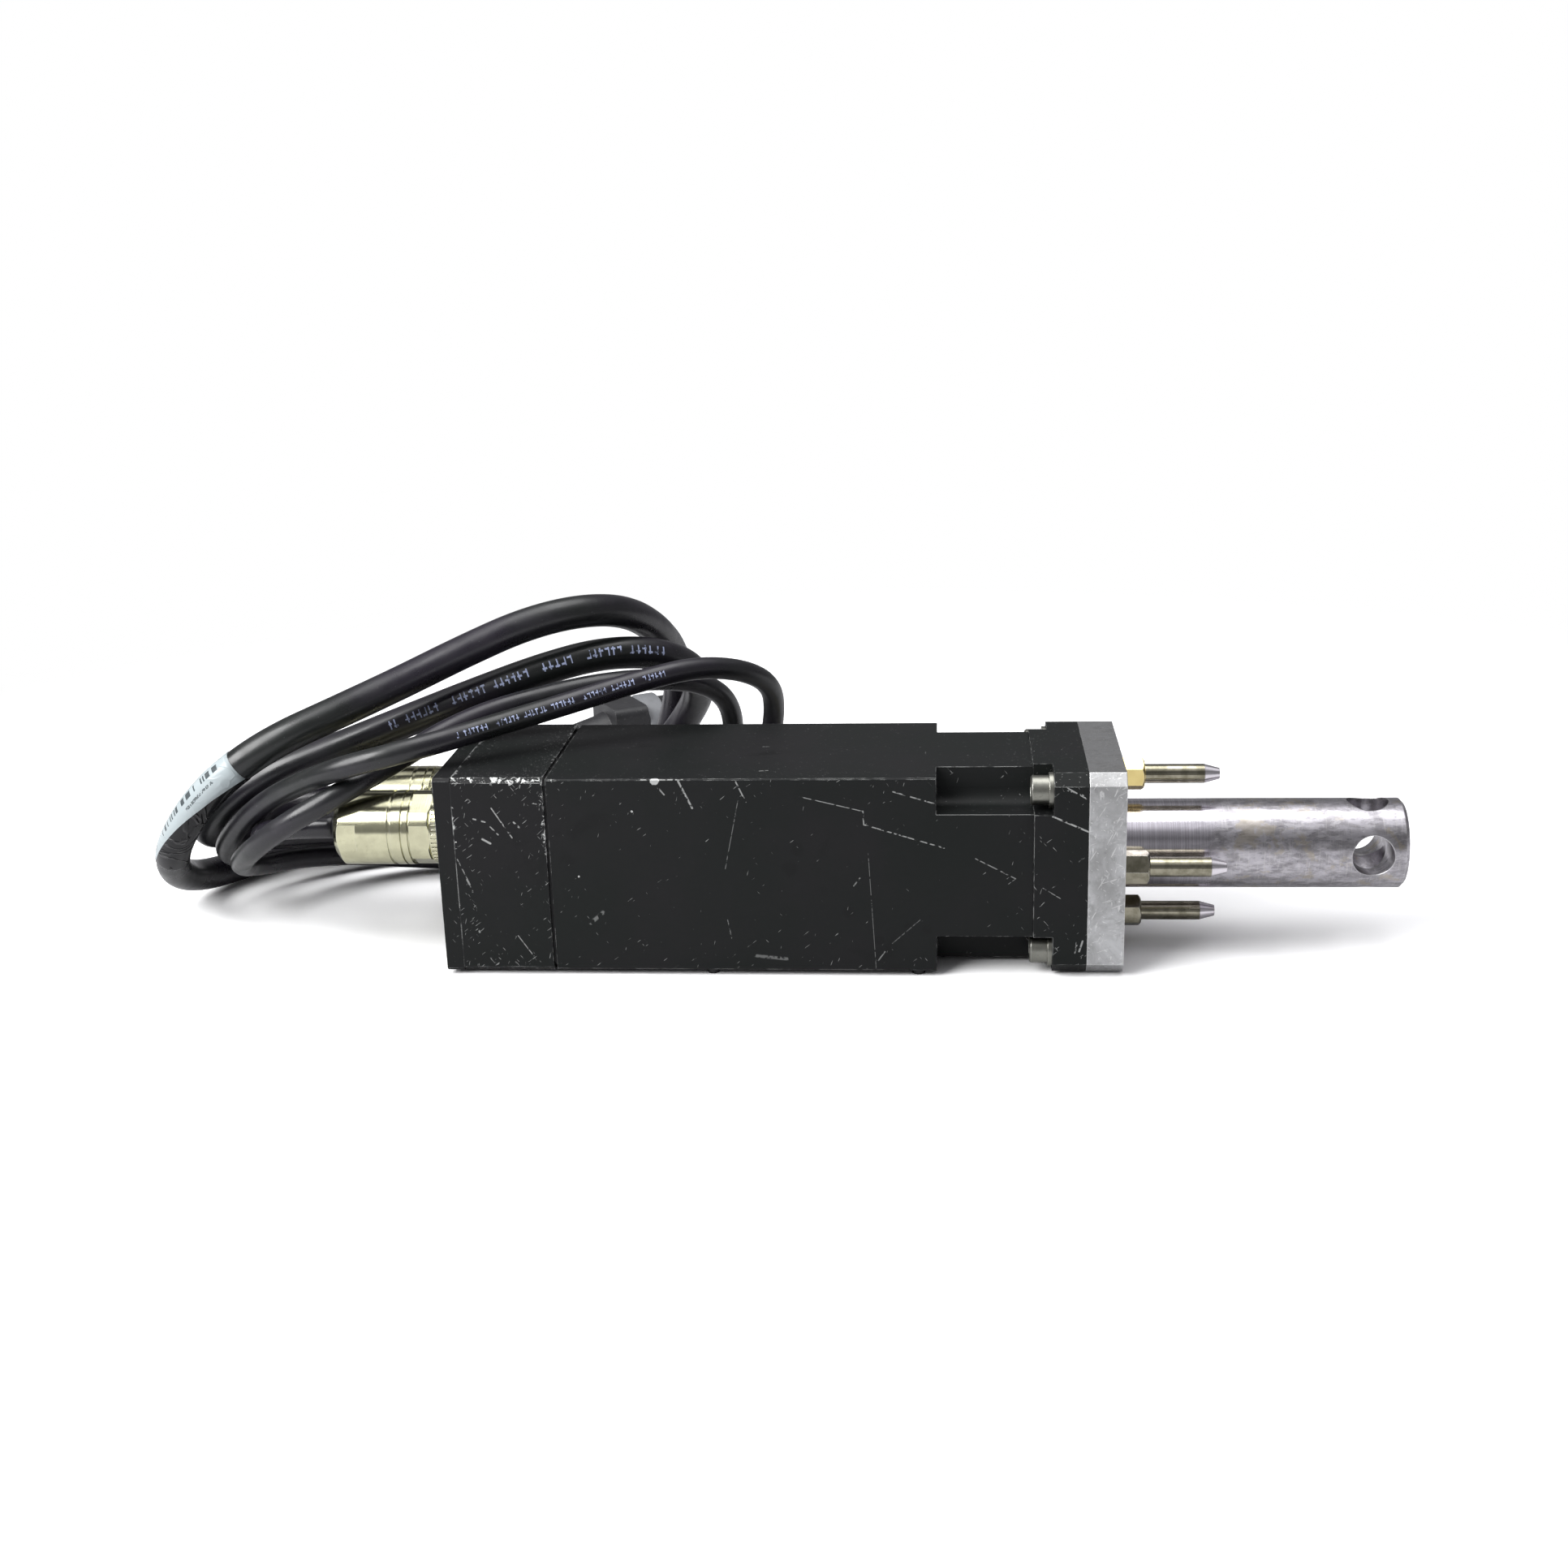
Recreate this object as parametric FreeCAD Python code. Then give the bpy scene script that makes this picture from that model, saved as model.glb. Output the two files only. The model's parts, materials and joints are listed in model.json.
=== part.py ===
"""Integrated electric linear actuator: a stepper motor turns a lead screw, the screw's nut pushes a rod.

Frame, in millimetres: origin at the centre of the adapter plate's outer face, on the rod's axis.
+X points along the rod, away from the motor. +Y is the power connector's side. +Z is up.
"""
import FreeCAD, Part
import math
import os

V = FreeCAD.Vector

# ---- driving dimensions -------------------------------------------------------------------
# stations along X, from the rear plate to the adapter plate's outer face
REAR = -230.6
REAR_PLATE_FRONT = -224.6
GASKET_REAR = -193.2
MAIN_REAR = -192.2
CAP_REAR = -30.05
PLATE_REAR = -12.2
FACE = 0.0
# half widths of the square sections
FLANGE_HALF = 35.0
MAIN_HALF = 34.1
REAR_HALF = 34.6
FLANGE_CHAMFER = 3.8
REAR_CHAMFER = 1.6
MAIN_CHAMFER = 0.4
# corner pockets for the cap screws
POCKET_REAR = -62.2
POCKET_FRONT = -23.6
POCKET_Y = 13.0
POCKET_Z = 12.6
POCKET_RADIUS = 5.0
# M6 cap screws, one in each pocket
SCREW_POS = 28.0
SCREW_R = 3.0
SCREW_HEAD_R = 5.0
SCREW_HEAD = 6.0
WASHER_R = 6.0
WASHER = 1.5
# bores inside the main housing
STATOR_R = 30.0
STATOR_BORE_FRONT = -119.0
BEARING_R = 17.5
BEARING_REAR = -117.0
BEARING_FRONT = -97.0
GUIDE_R = 22.0
GUIDE_REAR = -97.0
# rod
ROD_R = 15.4
ROD_REAR = -60.0
ROD_END = 96.0
ROD_CHAMFER = 1.2
ROD_BORE_R = 9.0
ROD_BORE_END = 44.0
CROSS_HOLE_R = 7.0
CROSS_HOLE_X = 84.0
NUT_R = 12.5
NUT_FRONT = -38.0
RUNNING = 0.05
# lead screw and shaft
SCREW_THREAD_R = 8.0
SCREW_ROOT_R = 6.9
SCREW_TIP = -6.0
THREAD_PITCH = 5.0
ROTOR_SEAT_R = 9.5
INNER_RACE_BORE = 8.5
SHAFT_REAR_R = 5.0
# studs on the plate's face
STUD_CIRCLE_R = 25.0
STUD_R = 3.3
STUD_THREAD_R = 3.0
STUD_TIP_R = 1.9
STUD_HEX_AF = 10.0
STUD_HEX = 8.6
STUD_CONE = 28.8
STUD_END = 34.0
# base pegs
PEG_R = 2.15
PEG_SHANK_R = 1.75
PEG_DEPTH = 4.0
PEG_X = (-138.7, -68.4)
PEG_Y = 30.0
FLOOR = -36.2
# connectors on the rear plate
CONNECTOR_Y = 14.5
CONNECTOR_Z = 11.0
CONNECTOR_R = 13.0
BARREL_R = 9.5
CONNECTOR_TAIL = -269.5
GLAND_END = -271.5
# tie screws of the rear housing
TIE_POS = 28.6
TIE_R = 2.0
TIE_HEAD_R = 3.5
TIE_HEAD = 3.0
TIE_END = -178.0
# how far the cap screws and the studs reach into the plate
CAP_SCREW_END = -2.6
STUD_THREAD_END = -9.0
# rod bush, wiper seal and the guide ring's key
BUSH_R = 18.5
WIPER_R = 20.0
WIPER_REAR = -7.0
KEY_HALF = 3.0
KEY_TOP = 24.4
GUIDE_RING_FRONT = -50.6
# bearings, their retainer and nut, the rear bell and the shaft's end
BALL_R = 1.45
BEARING_WIDTH = 10.0
RETAINER_CIRCLE_R = 19.6
RETAINER_SCREW_R = 1.5
RETAINER = 3.5
BEARING_NUT_FRONT = -91.6
REAR_BEARING_R = 13.0
REAR_BEARING_FRONT = -190.0
REAR_BEARING_REAR = -198.0
BELL_FRONT = -188.4
BELL_REAR = -199.5
ENCODER_STUB_R = 4.0
SHAFT_END = -214.5
# motor
STATOR_X = (-180.0, -127.0)
ROTOR_X = (-181.0, -126.0)
MAGNET_R = 19.6
AIR_GAP_R = 20.4
SLOTS = 12
WINDING_R = 28.4
WINDING_BORE_R = 21.8
# encoder
DISC_X = -206.5
BOARD_X = -213.6
BOARD = 1.6
BOARD_R = 27.0
POST_R = 23.5
# connector's contacts, its knurled ring and the plug shell: socket, grooves (rear, front, depth), hexagon
PIN_R = 0.6
PIN_CIRCLE_R = 4.4
PIN_REAR = -242.5
KNURL_REAR = -235.2
KNURL_FRONT = -230.9
KNURL_R = 12.8
KNURLS = 48
SOCKET_R = 9.6
SHELL_FRONT = -235.4
SHELL_FLOOR = -245.0
SHELL_GROOVES = ((-250.1, -248.9, 0.5), (-245.6, -245.0, 0.8))
SHELL_HEX = -242.5
# cables
POWER_CABLE_R = 6.0
FEEDBACK_CABLE_R = 4.0

# route of each cable, from its gland to its far plug
POWER_ROUTE = [
    (-271.5, 14.5, 11), (-288.5, 14.5, 11), (-305, 19.5, 7.5), (-316.5, 33, 1), (-317, 53, -6),
    (-304, 71, -13), (-286, 84, -21), (-265, 92, -27), (-242, 96, -30.2), (-220, 95, -29),
    (-202, 99, -22), (-187, 106, -10), (-173, 109, 4), (-162, 103, 19), (-155, 90, 33),
    (-156, 74, 46), (-167, 60, 55), (-186, 49, 57.5), (-206, 40, 54), (-230, 34, 46.5),
    (-257, 29, 37), (-283, 22, 28), (-306, 16.5, 20.5), (-327, 17.5, 7), (-339, 31, -6),
    (-337, 51, -13.5), (-323, 68, -20), (-304, 86, -26), (-281, 103, -30.2), (-255, 112, -30.2),
    (-227, 116, -30.2), (-203, 122, -27), (-184, 128, -14), (-173, 125, 6), (-167, 115, 27),
    (-166, 98, 46), (-170, 77, 61), (-178, 58, 71.5), (-192, 43, 75), (-211, 34, 72),
    (-232, 26, 64), (-254, 18, 54.5), (-275, 7, 46.5), (-296, -2, 38.5), (-314, -6, 27),
    (-329, -4, 12), (-341, 4, -5), (-347, 20, -19), (-346, 42, -28), (-336, 64, -30.2),
    (-323, 86, -30.2), (-312, 110, -30.2), (-297, 136, -30.2), (-276, 163, -28),
    (-253, 185, -19.2), (-228, 200, -19.2),
]
FEEDBACK_ROUTE = [
    (-271.5, -14.5, 11), (-286, -14.5, 11), (-299, -9, 7.5), (-307, 4, 1), (-308, 21, -4.5),
    (-302, 38, -9.5), (-289, 54, -14), (-270, 63, -20), (-247, 63, -28), (-222, 59, -32.2),
    (-195, 61, -32.2), (-170, 59, -31), (-150, 63, -22), (-137, 69, -7), (-128, 72, 11),
    (-124, 68, 29), (-124, 57, 43), (-133, 44, 52), (-149, 32, 56), (-167, 21, 54), (-188, 9, 50),
    (-208, -3, 46.5), (-227, -18, 44), (-245, -29, 41.5), (-263, -29, 37), (-280, -20, 29),
    (-297, -8, 19.5), (-314, 2, 6), (-326, 15, -8), (-326, 34, -18.5), (-318, 53, -25),
    (-301, 69, -29), (-281, 79, -32.2), (-255, 82, -32.2), (-227, 81, -32.2), (-200, 83, -32.2),
    (-176, 86, -29), (-157, 87, -17), (-146, 85, 0), (-141, 80, 18), (-142, 70, 34),
    (-150, 57, 44), (-165, 43, 49), (-183, 31, 50.5), (-203, 23, 48), (-222, 15, 44.5),
    (-237, 5, 39.5), (-248, -6, 34), (-257, -18, 30.5), (-269, -28, 25), (-285, -29, 16.5),
    (-301, -21, 4.5), (-313, -4, -7), (-315, 18, -15), (-306, 38, -19), (-292, 56, -24),
    (-272, 69, -30), (-248, 73, -32.2), (-222, 71, -32.2), (-195, 73, -32.2), (-169, 71, -30),
    (-144, 73, -26.2), (-120, 73, -26.2),
]
# where the cables end and their far plugs begin
POWER_PLUG = V(-228, 200, -19.2)
FEEDBACK_PLUG = V(-120, 73, -26.2)


# ---- helpers --------------------------------------------------------------------------------
def save(node, *solids):
    shape = solids[0] if len(solids) == 1 else Part.makeCompound(list(solids))
    if not shape.isValid():
        print("invalid:", node)
    shape.exportStep("parts/" + node + ".step")
    print(node, len(shape.Solids), round(shape.Volume, 1))


def rod_x(radius, x0, x1, y=0.0, z=0.0):
    return Part.makeCylinder(radius, x1 - x0, V(x0, y, z), V(1, 0, 0))


def ring_x(outer, inner, x0, x1, y=0.0, z=0.0):
    return rod_x(outer, x0, x1, y, z).cut(rod_x(inner, x0 - 1, x1 + 1, y, z))


def block(x0, x1, y0, y1, z0, z1):
    return Part.makeBox(x1 - x0, y1 - y0, z1 - z0, V(x0, y0, z0))


def turned(outline, y=0.0, z=0.0):
    """Solid of revolution about an X axis. The outline is a list of (x, radius), open to the axis."""
    points = [(outline[0][0], 0.0)] + list(outline) + [(outline[-1][0], 0.0)]
    corners = [V(x, y + radius, z) for x, radius in points]
    face = Part.Face(Part.makePolygon(corners + corners[:1]))
    return face.revolve(V(0, y, z), V(1, 0, 0), 360)


def polygon_prism(corners_yz, x0, x1):
    corners = [V(x0, y, z) for y, z in corners_yz]
    return Part.Face(Part.makePolygon(corners + corners[:1])).extrude(V(x1 - x0, 0, 0))


def square_prism(half, chamfer, x0, x1):
    """Square bar along X with its four long edges chamfered."""
    inner = half - chamfer
    corners = [(half, -inner), (half, inner), (inner, half), (-inner, half),
               (-half, inner), (-half, -inner), (-inner, -half), (inner, -half)]
    return polygon_prism(corners, x0, x1)


def hex_prism(across_flats, x0, x1, y=0.0, z=0.0, turn=0.0):
    radius = across_flats / math.sqrt(3)
    angles = [math.radians(turn + 60 * k) for k in range(6)]
    return polygon_prism([(y + radius * math.cos(a), z + radius * math.sin(a)) for a in angles], x0, x1)


def corner_signs():
    return [(sy, sz) for sy in (-1, 1) for sz in (-1, 1)]


def around_x(shape, count, start=0.0):
    """Copies of a shape spread evenly about the rod's axis."""
    copies = []
    for k in range(count):
        copy = shape.copy()
        copy.rotate(V(0, 0, 0), V(1, 0, 0), start + 360.0 * k / count)
        copies.append(copy)
    return copies


def corner_pockets(half, x0, x1):
    """The four open corner notches, each with one rounded inner corner."""
    notches = []
    for sy, sz in corner_signs():
        inner_y = half - POCKET_Y
        inner_z = half - POCKET_Z
        outer = FLANGE_HALF + 5
        box = block(x0, x1, inner_y, outer, inner_z, outer)
        low = [e for e in box.Edges if e.BoundBox.YMax < inner_y + 0.01]
        edge = [e for e in low if e.BoundBox.ZMax < inner_z + 0.01]
        notch = box.makeFillet(POCKET_RADIUS, edge)
        if sy < 0:
            notch = notch.mirror(V(0, 0, 0), V(0, 1, 0))
        if sz < 0:
            notch = notch.mirror(V(0, 0, 0), V(0, 0, 1))
        notches.append(notch)
    return notches


# ---- castings and covers --------------------------------------------------------------------
def rear_plate():
    plate = square_prism(REAR_HALF, 1.0, REAR, REAR_PLATE_FRONT)
    holes = []
    for y in (-CONNECTOR_Y, CONNECTOR_Y):
        holes.append(rod_x(BARREL_R, REAR - 1, REAR_PLATE_FRONT + 1, y, CONNECTOR_Z))
    for sy, sz in corner_signs():
        holes.append(rod_x(TIE_HEAD_R + 0.2, REAR - 1, REAR + TIE_HEAD, sy * TIE_POS, sz * TIE_POS))
        holes.append(rod_x(TIE_R + 0.2, REAR - 1, REAR_PLATE_FRONT + 1, sy * TIE_POS, sz * TIE_POS))
    save("rear_plate", plate.cut(holes))


def rear_housing():
    shell = square_prism(REAR_HALF, REAR_CHAMFER, REAR_PLATE_FRONT, GASKET_REAR)
    cuts = [rod_x(STATOR_R, REAR_PLATE_FRONT - 1, GASKET_REAR + 1)]
    for sy, sz in corner_signs():
        cuts.append(rod_x(TIE_R + 0.2, REAR_PLATE_FRONT - 1, GASKET_REAR + 1, sy * TIE_POS, sz * TIE_POS))
    save("rear_housing", shell.cut(cuts))


def rear_gasket():
    sheet = square_prism(REAR_HALF - 1.2, 1.6, GASKET_REAR, MAIN_REAR)
    cuts = [rod_x(STATOR_R, GASKET_REAR - 1, MAIN_REAR + 1)]
    for sy, sz in corner_signs():
        cuts.append(rod_x(TIE_R + 0.2, GASKET_REAR - 1, MAIN_REAR + 1, sy * TIE_POS, sz * TIE_POS))
    save("rear_gasket", sheet.cut(cuts))


def tie_screws():
    screws = []
    for sy, sz in corner_signs():
        y = sy * TIE_POS
        z = sz * TIE_POS
        head = rod_x(TIE_HEAD_R, REAR, REAR + TIE_HEAD, y, z).cut(hex_prism(3.0, REAR - 1, REAR + 2, y, z))
        screws.append(head.fuse(rod_x(TIE_R, REAR + TIE_HEAD, TIE_END, y, z)))
    save("tie_screws", *screws)


def main_housing():
    bar = square_prism(MAIN_HALF, MAIN_CHAMFER, MAIN_REAR, CAP_REAR)
    cuts = corner_pockets(MAIN_HALF, POCKET_REAR, CAP_REAR + 1)
    cuts.append(rod_x(STATOR_R, MAIN_REAR - 1, STATOR_BORE_FRONT))
    cuts.append(rod_x(BEARING_R - 2.5, STATOR_BORE_FRONT - 1, BEARING_REAR + 1))
    cuts.append(rod_x(BEARING_R, BEARING_REAR, BEARING_FRONT + 1))
    cuts.append(rod_x(GUIDE_R, GUIDE_REAR, CAP_REAR + 1))
    cuts.append(block(GUIDE_REAR, CAP_REAR + 1, -KEY_HALF - 0.1, KEY_HALF + 0.1, 0, KEY_TOP + 0.3))
    for sy, sz in corner_signs():
        cuts.append(rod_x(TIE_R, MAIN_REAR - 1, TIE_END, sy * TIE_POS, sz * TIE_POS))
        for x in PEG_X:
            foot = V(x, sy * PEG_Y, -MAIN_HALF - 1)
            cuts.append(Part.makeCylinder(PEG_SHANK_R, PEG_DEPTH + 1, foot, V(0, 0, 1)))
    hole = rod_x(RETAINER_SCREW_R, BEARING_FRONT - 8, BEARING_FRONT + 1, 0, RETAINER_CIRCLE_R)
    cuts += around_x(hole, 4, 45)
    save("main_housing", bar.cut(cuts))


def base_pegs():
    pegs = []
    for x in PEG_X:
        for y in (-PEG_Y, PEG_Y):
            foot = Part.makeCylinder(PEG_R, -MAIN_HALF - FLOOR, V(x, y, FLOOR), V(0, 0, 1))
            shank = Part.makeCylinder(PEG_SHANK_R, PEG_DEPTH, V(x, y, -MAIN_HALF), V(0, 0, 1))
            pegs.append(foot.fuse(shank))
    save("base_pegs", *pegs)


def front_cap():
    cap = square_prism(FLANGE_HALF, FLANGE_CHAMFER, CAP_REAR, PLATE_REAR)
    cuts = corner_pockets(MAIN_HALF, CAP_REAR - 1, POCKET_FRONT)
    cuts.append(rod_x(BUSH_R, CAP_REAR - 1, PLATE_REAR + 1))
    for sy, sz in corner_signs():
        cuts.append(rod_x(SCREW_R + 0.3, POCKET_FRONT - 1, PLATE_REAR + 1, sy * SCREW_POS, sz * SCREW_POS))
    save("front_cap", cap.cut(cuts))


def adapter_plate():
    plate = square_prism(FLANGE_HALF, FLANGE_CHAMFER, PLATE_REAR, FACE)
    cuts = [rod_x(ROD_R + 0.6, PLATE_REAR - 1, FACE + 1), rod_x(WIPER_R, WIPER_REAR, FACE + 1)]
    for sy, sz in corner_signs():
        cuts.append(rod_x(SCREW_R, PLATE_REAR - 1, CAP_SCREW_END, sy * SCREW_POS, sz * SCREW_POS))
    cuts += around_x(rod_x(STUD_THREAD_R, STUD_THREAD_END, FACE + 1, STUD_CIRCLE_R, 0), 4)
    save("adapter_plate", plate.cut(cuts))


# ---- fasteners ------------------------------------------------------------------------------
def cap_screws():
    washer_rear = POCKET_FRONT - WASHER
    head_rear = washer_rear - SCREW_HEAD
    screws = []
    washers = []
    for sy, sz in corner_signs():
        y = sy * SCREW_POS
        z = sz * SCREW_POS
        outline = [(head_rear, SCREW_HEAD_R - 0.5), (head_rear + 0.5, SCREW_HEAD_R)]
        outline.append((washer_rear, SCREW_HEAD_R))
        head = turned(outline, y, z)
        head = head.cut(hex_prism(5.0, head_rear - 1, head_rear + 3, y, z))
        screws.append(head.fuse(rod_x(SCREW_R, washer_rear, CAP_SCREW_END, y, z)))
        washers.append(ring_x(WASHER_R, SCREW_R + 0.2, washer_rear, POCKET_FRONT, y, z))
    save("cap_screws", *screws)
    save("cap_washers", *washers)


def studs():
    """Four guide studs round the rod: a hexagonal nut at the foot and a round pin with a tapered tip."""
    hexes = []
    pins = []
    for angle in (0, 90, 180, 270):
        y = STUD_CIRCLE_R * math.cos(math.radians(angle))
        z = STUD_CIRCLE_R * math.sin(math.radians(angle))
        rim = STUD_HEX_AF / 2 + 0.1
        cone = turned([(FACE, rim + 1), (STUD_HEX - 1.2, rim + 1), (STUD_HEX, rim - 0.5)], y, z)
        body = hex_prism(STUD_HEX_AF, FACE, STUD_HEX, y, z, angle / 3.0)
        hexes.append(body.common(cone).cut(rod_x(STUD_THREAD_R, FACE - 1, STUD_HEX + 1, y, z)))
        pins.append(turned([(STUD_THREAD_END, STUD_THREAD_R), (STUD_HEX, STUD_THREAD_R), (STUD_HEX, STUD_R),
                            (STUD_CONE, STUD_R), (STUD_END, STUD_TIP_R)], y, z))
    save("stud_hex_nuts", *hexes)
    save("stud_pins", *pins)


# ---- rod, nut, bush and seal ----------------------------------------------------------------
def rod_tube():
    tube = turned([(ROD_REAR, ROD_R), (ROD_END - ROD_CHAMFER, ROD_R), (ROD_END, ROD_R - ROD_CHAMFER)])
    cuts = [rod_x(NUT_R, ROD_REAR - 1, NUT_FRONT), rod_x(ROD_BORE_R, ROD_REAR - 1, ROD_BORE_END)]
    cuts.append(Part.makeCylinder(CROSS_HOLE_R, 40, V(CROSS_HOLE_X, -20, 0), V(0, 1, 0)))
    cuts.append(Part.makeCylinder(CROSS_HOLE_R, 40, V(CROSS_HOLE_X, 0, -20), V(0, 0, 1)))
    save("rod_tube", tube.cut(cuts))


def screw_nut():
    save("screw_nut", ring_x(NUT_R, SCREW_THREAD_R + RUNNING, ROD_REAR, NUT_FRONT))


def rod_guide_ring():
    ring = ring_x(GUIDE_R - 0.1, ROD_R, ROD_REAR, GUIDE_RING_FRONT)
    key = block(ROD_REAR, GUIDE_RING_FRONT, -KEY_HALF, KEY_HALF, ROD_R + 1, KEY_TOP)
    save("rod_guide_ring", ring.fuse(key))


def rod_bush():
    save("rod_bush", ring_x(BUSH_R, ROD_R + RUNNING, CAP_REAR + 1, PLATE_REAR - 0.5))


def wiper_seal():
    body = ring_x(WIPER_R, ROD_R + RUNNING, WIPER_REAR, FACE - 0.6)
    groove = ring_x(WIPER_R - 1.4, ROD_R + 1.6, FACE - 2.2, FACE)
    save("wiper_seal", body.cut(groove))


# ---- screw shaft and its bearings -----------------------------------------------------------
def lead_screw():
    outline = [(SHAFT_END, ENCODER_STUB_R), (-199.0, ENCODER_STUB_R), (-199.0, SHAFT_REAR_R),
               (REAR_BEARING_FRONT, SHAFT_REAR_R), (REAR_BEARING_FRONT, ROTOR_SEAT_R),
               (BEARING_REAR, ROTOR_SEAT_R), (BEARING_REAR, INNER_RACE_BORE),
               (BEARING_NUT_FRONT, INNER_RACE_BORE), (BEARING_NUT_FRONT, SCREW_THREAD_R),
               (SCREW_TIP - 1.5, SCREW_THREAD_R), (SCREW_TIP, SCREW_THREAD_R - 1.5)]
    groove_count = int((SCREW_TIP - BEARING_NUT_FRONT) / THREAD_PITCH)
    grooves = []
    for k in range(groove_count):
        x = BEARING_NUT_FRONT + THREAD_PITCH * (k + 0.6)
        grooves.append(ring_x(SCREW_THREAD_R + 1, SCREW_ROOT_R, x, x + THREAD_PITCH / 2))
    save("lead_screw", turned(outline).cut(grooves))


def thrust_bearings():
    outer, inner, balls = [], [], []
    for k in range(2):
        x0 = BEARING_REAR + k * BEARING_WIDTH
        x1 = x0 + BEARING_WIDTH
        outer.append(ring_x(BEARING_R, 14.6, x0, x1))
        inner.append(ring_x(11.6, INNER_RACE_BORE, x0, x1))
        ball = Part.makeSphere(BALL_R, V((x0 + x1) / 2, 0, 13.1))
        balls += around_x(ball, 12, 15 * k)
    save("bearing_outer_races", *outer)
    save("bearing_inner_races", *inner)
    save("bearing_balls", *balls)


def bearing_retainer():
    ring = ring_x(GUIDE_R - 0.2, 14.6, BEARING_FRONT, BEARING_FRONT + RETAINER)
    hole = rod_x(RETAINER_SCREW_R, BEARING_FRONT - 1, BEARING_FRONT + RETAINER + 1, 0, RETAINER_CIRCLE_R)
    holes = around_x(hole, 4, 45)
    save("bearing_retainer", ring.cut(holes))
    screw = rod_x(RETAINER_SCREW_R, BEARING_FRONT - 8, BEARING_FRONT + RETAINER, 0, RETAINER_CIRCLE_R)
    save("retainer_screws", *around_x(screw, 4, 45))


def bearing_nut():
    nut = ring_x(13.4, INNER_RACE_BORE, BEARING_FRONT, BEARING_NUT_FRONT)
    slots = around_x(block(BEARING_FRONT - 1, BEARING_NUT_FRONT + 1, -1.5, 1.5, 12, 15), 4)
    save("bearing_nut", nut.cut(slots))


def rear_bearing():
    bell = ring_x(STATOR_R, 10.8, BELL_REAR, BELL_FRONT)
    save("rear_bell", bell.cut(rod_x(REAR_BEARING_R, BELL_REAR - 1, REAR_BEARING_FRONT)))
    save("rear_bearing_outer", ring_x(REAR_BEARING_R, 10.9, REAR_BEARING_REAR, REAR_BEARING_FRONT))
    save("rear_bearing_inner", ring_x(7.9, SHAFT_REAR_R, REAR_BEARING_REAR, REAR_BEARING_FRONT))
    ball = Part.makeSphere(BALL_R, V((REAR_BEARING_REAR + REAR_BEARING_FRONT) / 2, 0, 9.4))
    save("rear_bearing_balls", *around_x(ball, 9))


# ---- motor ----------------------------------------------------------------------------------
def stator():
    core = ring_x(STATOR_R, AIR_GAP_R, *STATOR_X)
    slot = block(STATOR_X[0] - 1, STATOR_X[1] + 1, -2.6, 2.6, 21.6, 26.8)
    save("stator_laminations", core.cut(around_x(slot, SLOTS)))
    bar = block(STATOR_X[0] - 1, STATOR_X[1] + 1, -2.3, 2.3, 21.9, 26.5)
    rear_end = ring_x(WINDING_R, WINDING_BORE_R, STATOR_X[0] - 7, STATOR_X[0] - 0.2)
    front_end = ring_x(WINDING_R, WINDING_BORE_R, STATOR_X[1] + 0.2, STATOR_X[1] + 7)
    save("stator_windings", rear_end.fuse(around_x(bar, SLOTS) + [front_end]))


def rotor():
    save("rotor_core", ring_x(16.6, ROTOR_SEAT_R, *ROTOR_X))
    shell = ring_x(MAGNET_R, 16.6, *ROTOR_X)
    gap = block(ROTOR_X[0] - 1, ROTOR_X[1] + 1, -0.6, 0.6, 0, 25)
    magnets = shell.cut(around_x(gap, 8))
    save("rotor_magnets", *magnets.Solids)


# ---- encoder --------------------------------------------------------------------------------
def encoder():
    collar = ring_x(6.0, ENCODER_STUB_R, DISC_X, DISC_X + 4)
    hub = ring_x(8.0, ENCODER_STUB_R, DISC_X - 2.5, DISC_X).fuse(collar)
    save("encoder_hub", hub)
    save("encoder_disc", ring_x(18.0, 6.0, DISC_X, DISC_X + 1))
    holes = around_x(rod_x(1.2, BOARD_X - 1, BOARD_X + 3, 0, POST_R), 3, 60)
    save("encoder_board", ring_x(BOARD_R, 9.5, BOARD_X, BOARD_X + BOARD).cut(holes))
    save("encoder_reader", block(BOARD_X + BOARD, DISC_X - 0.6, -6, 6, 11, 18.5))
    post = ring_x(2.8, 1.2, BOARD_X + BOARD, BELL_REAR, 0, POST_R)
    save("board_posts", *around_x(post, 3, 60))
    screw = rod_x(1.2, BOARD_X, BELL_REAR, 0, POST_R).fuse(rod_x(2.2, BOARD_X - 1.4, BOARD_X, 0, POST_R))
    save("board_screws", *around_x(screw, 3, 60))


# ---- connectors -----------------------------------------------------------------------------
def receptacle(name, y, z, contacts):
    """Chassis half of a connector: flange inside the plate, barrel outside, insulator and contacts."""
    barrel = rod_x(BARREL_R, -243.0, REAR_PLATE_FRONT, y, z)
    flange = rod_x(11.5, REAR_PLATE_FRONT, REAR_PLATE_FRONT + 3, y, z)
    body = barrel.fuse(flange).cut(rod_x(7.0, -244, REAR_PLATE_FRONT + 4, y, z))
    save(name + "_receptacle", body)
    insert = rod_x(7.0, -240, REAR_PLATE_FRONT + 2, y, z)
    pins = []
    for k in range(contacts):
        angle = 2 * math.pi * k / contacts
        pin_y = y + PIN_CIRCLE_R * math.cos(angle)
        pin_z = z + PIN_CIRCLE_R * math.sin(angle)
        pins.append(rod_x(PIN_R, PIN_REAR, REAR_PLATE_FRONT + 5, pin_y, pin_z))
    save(name + "_insert", insert.cut(pins))
    save(name + "_contacts", *pins)


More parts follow.
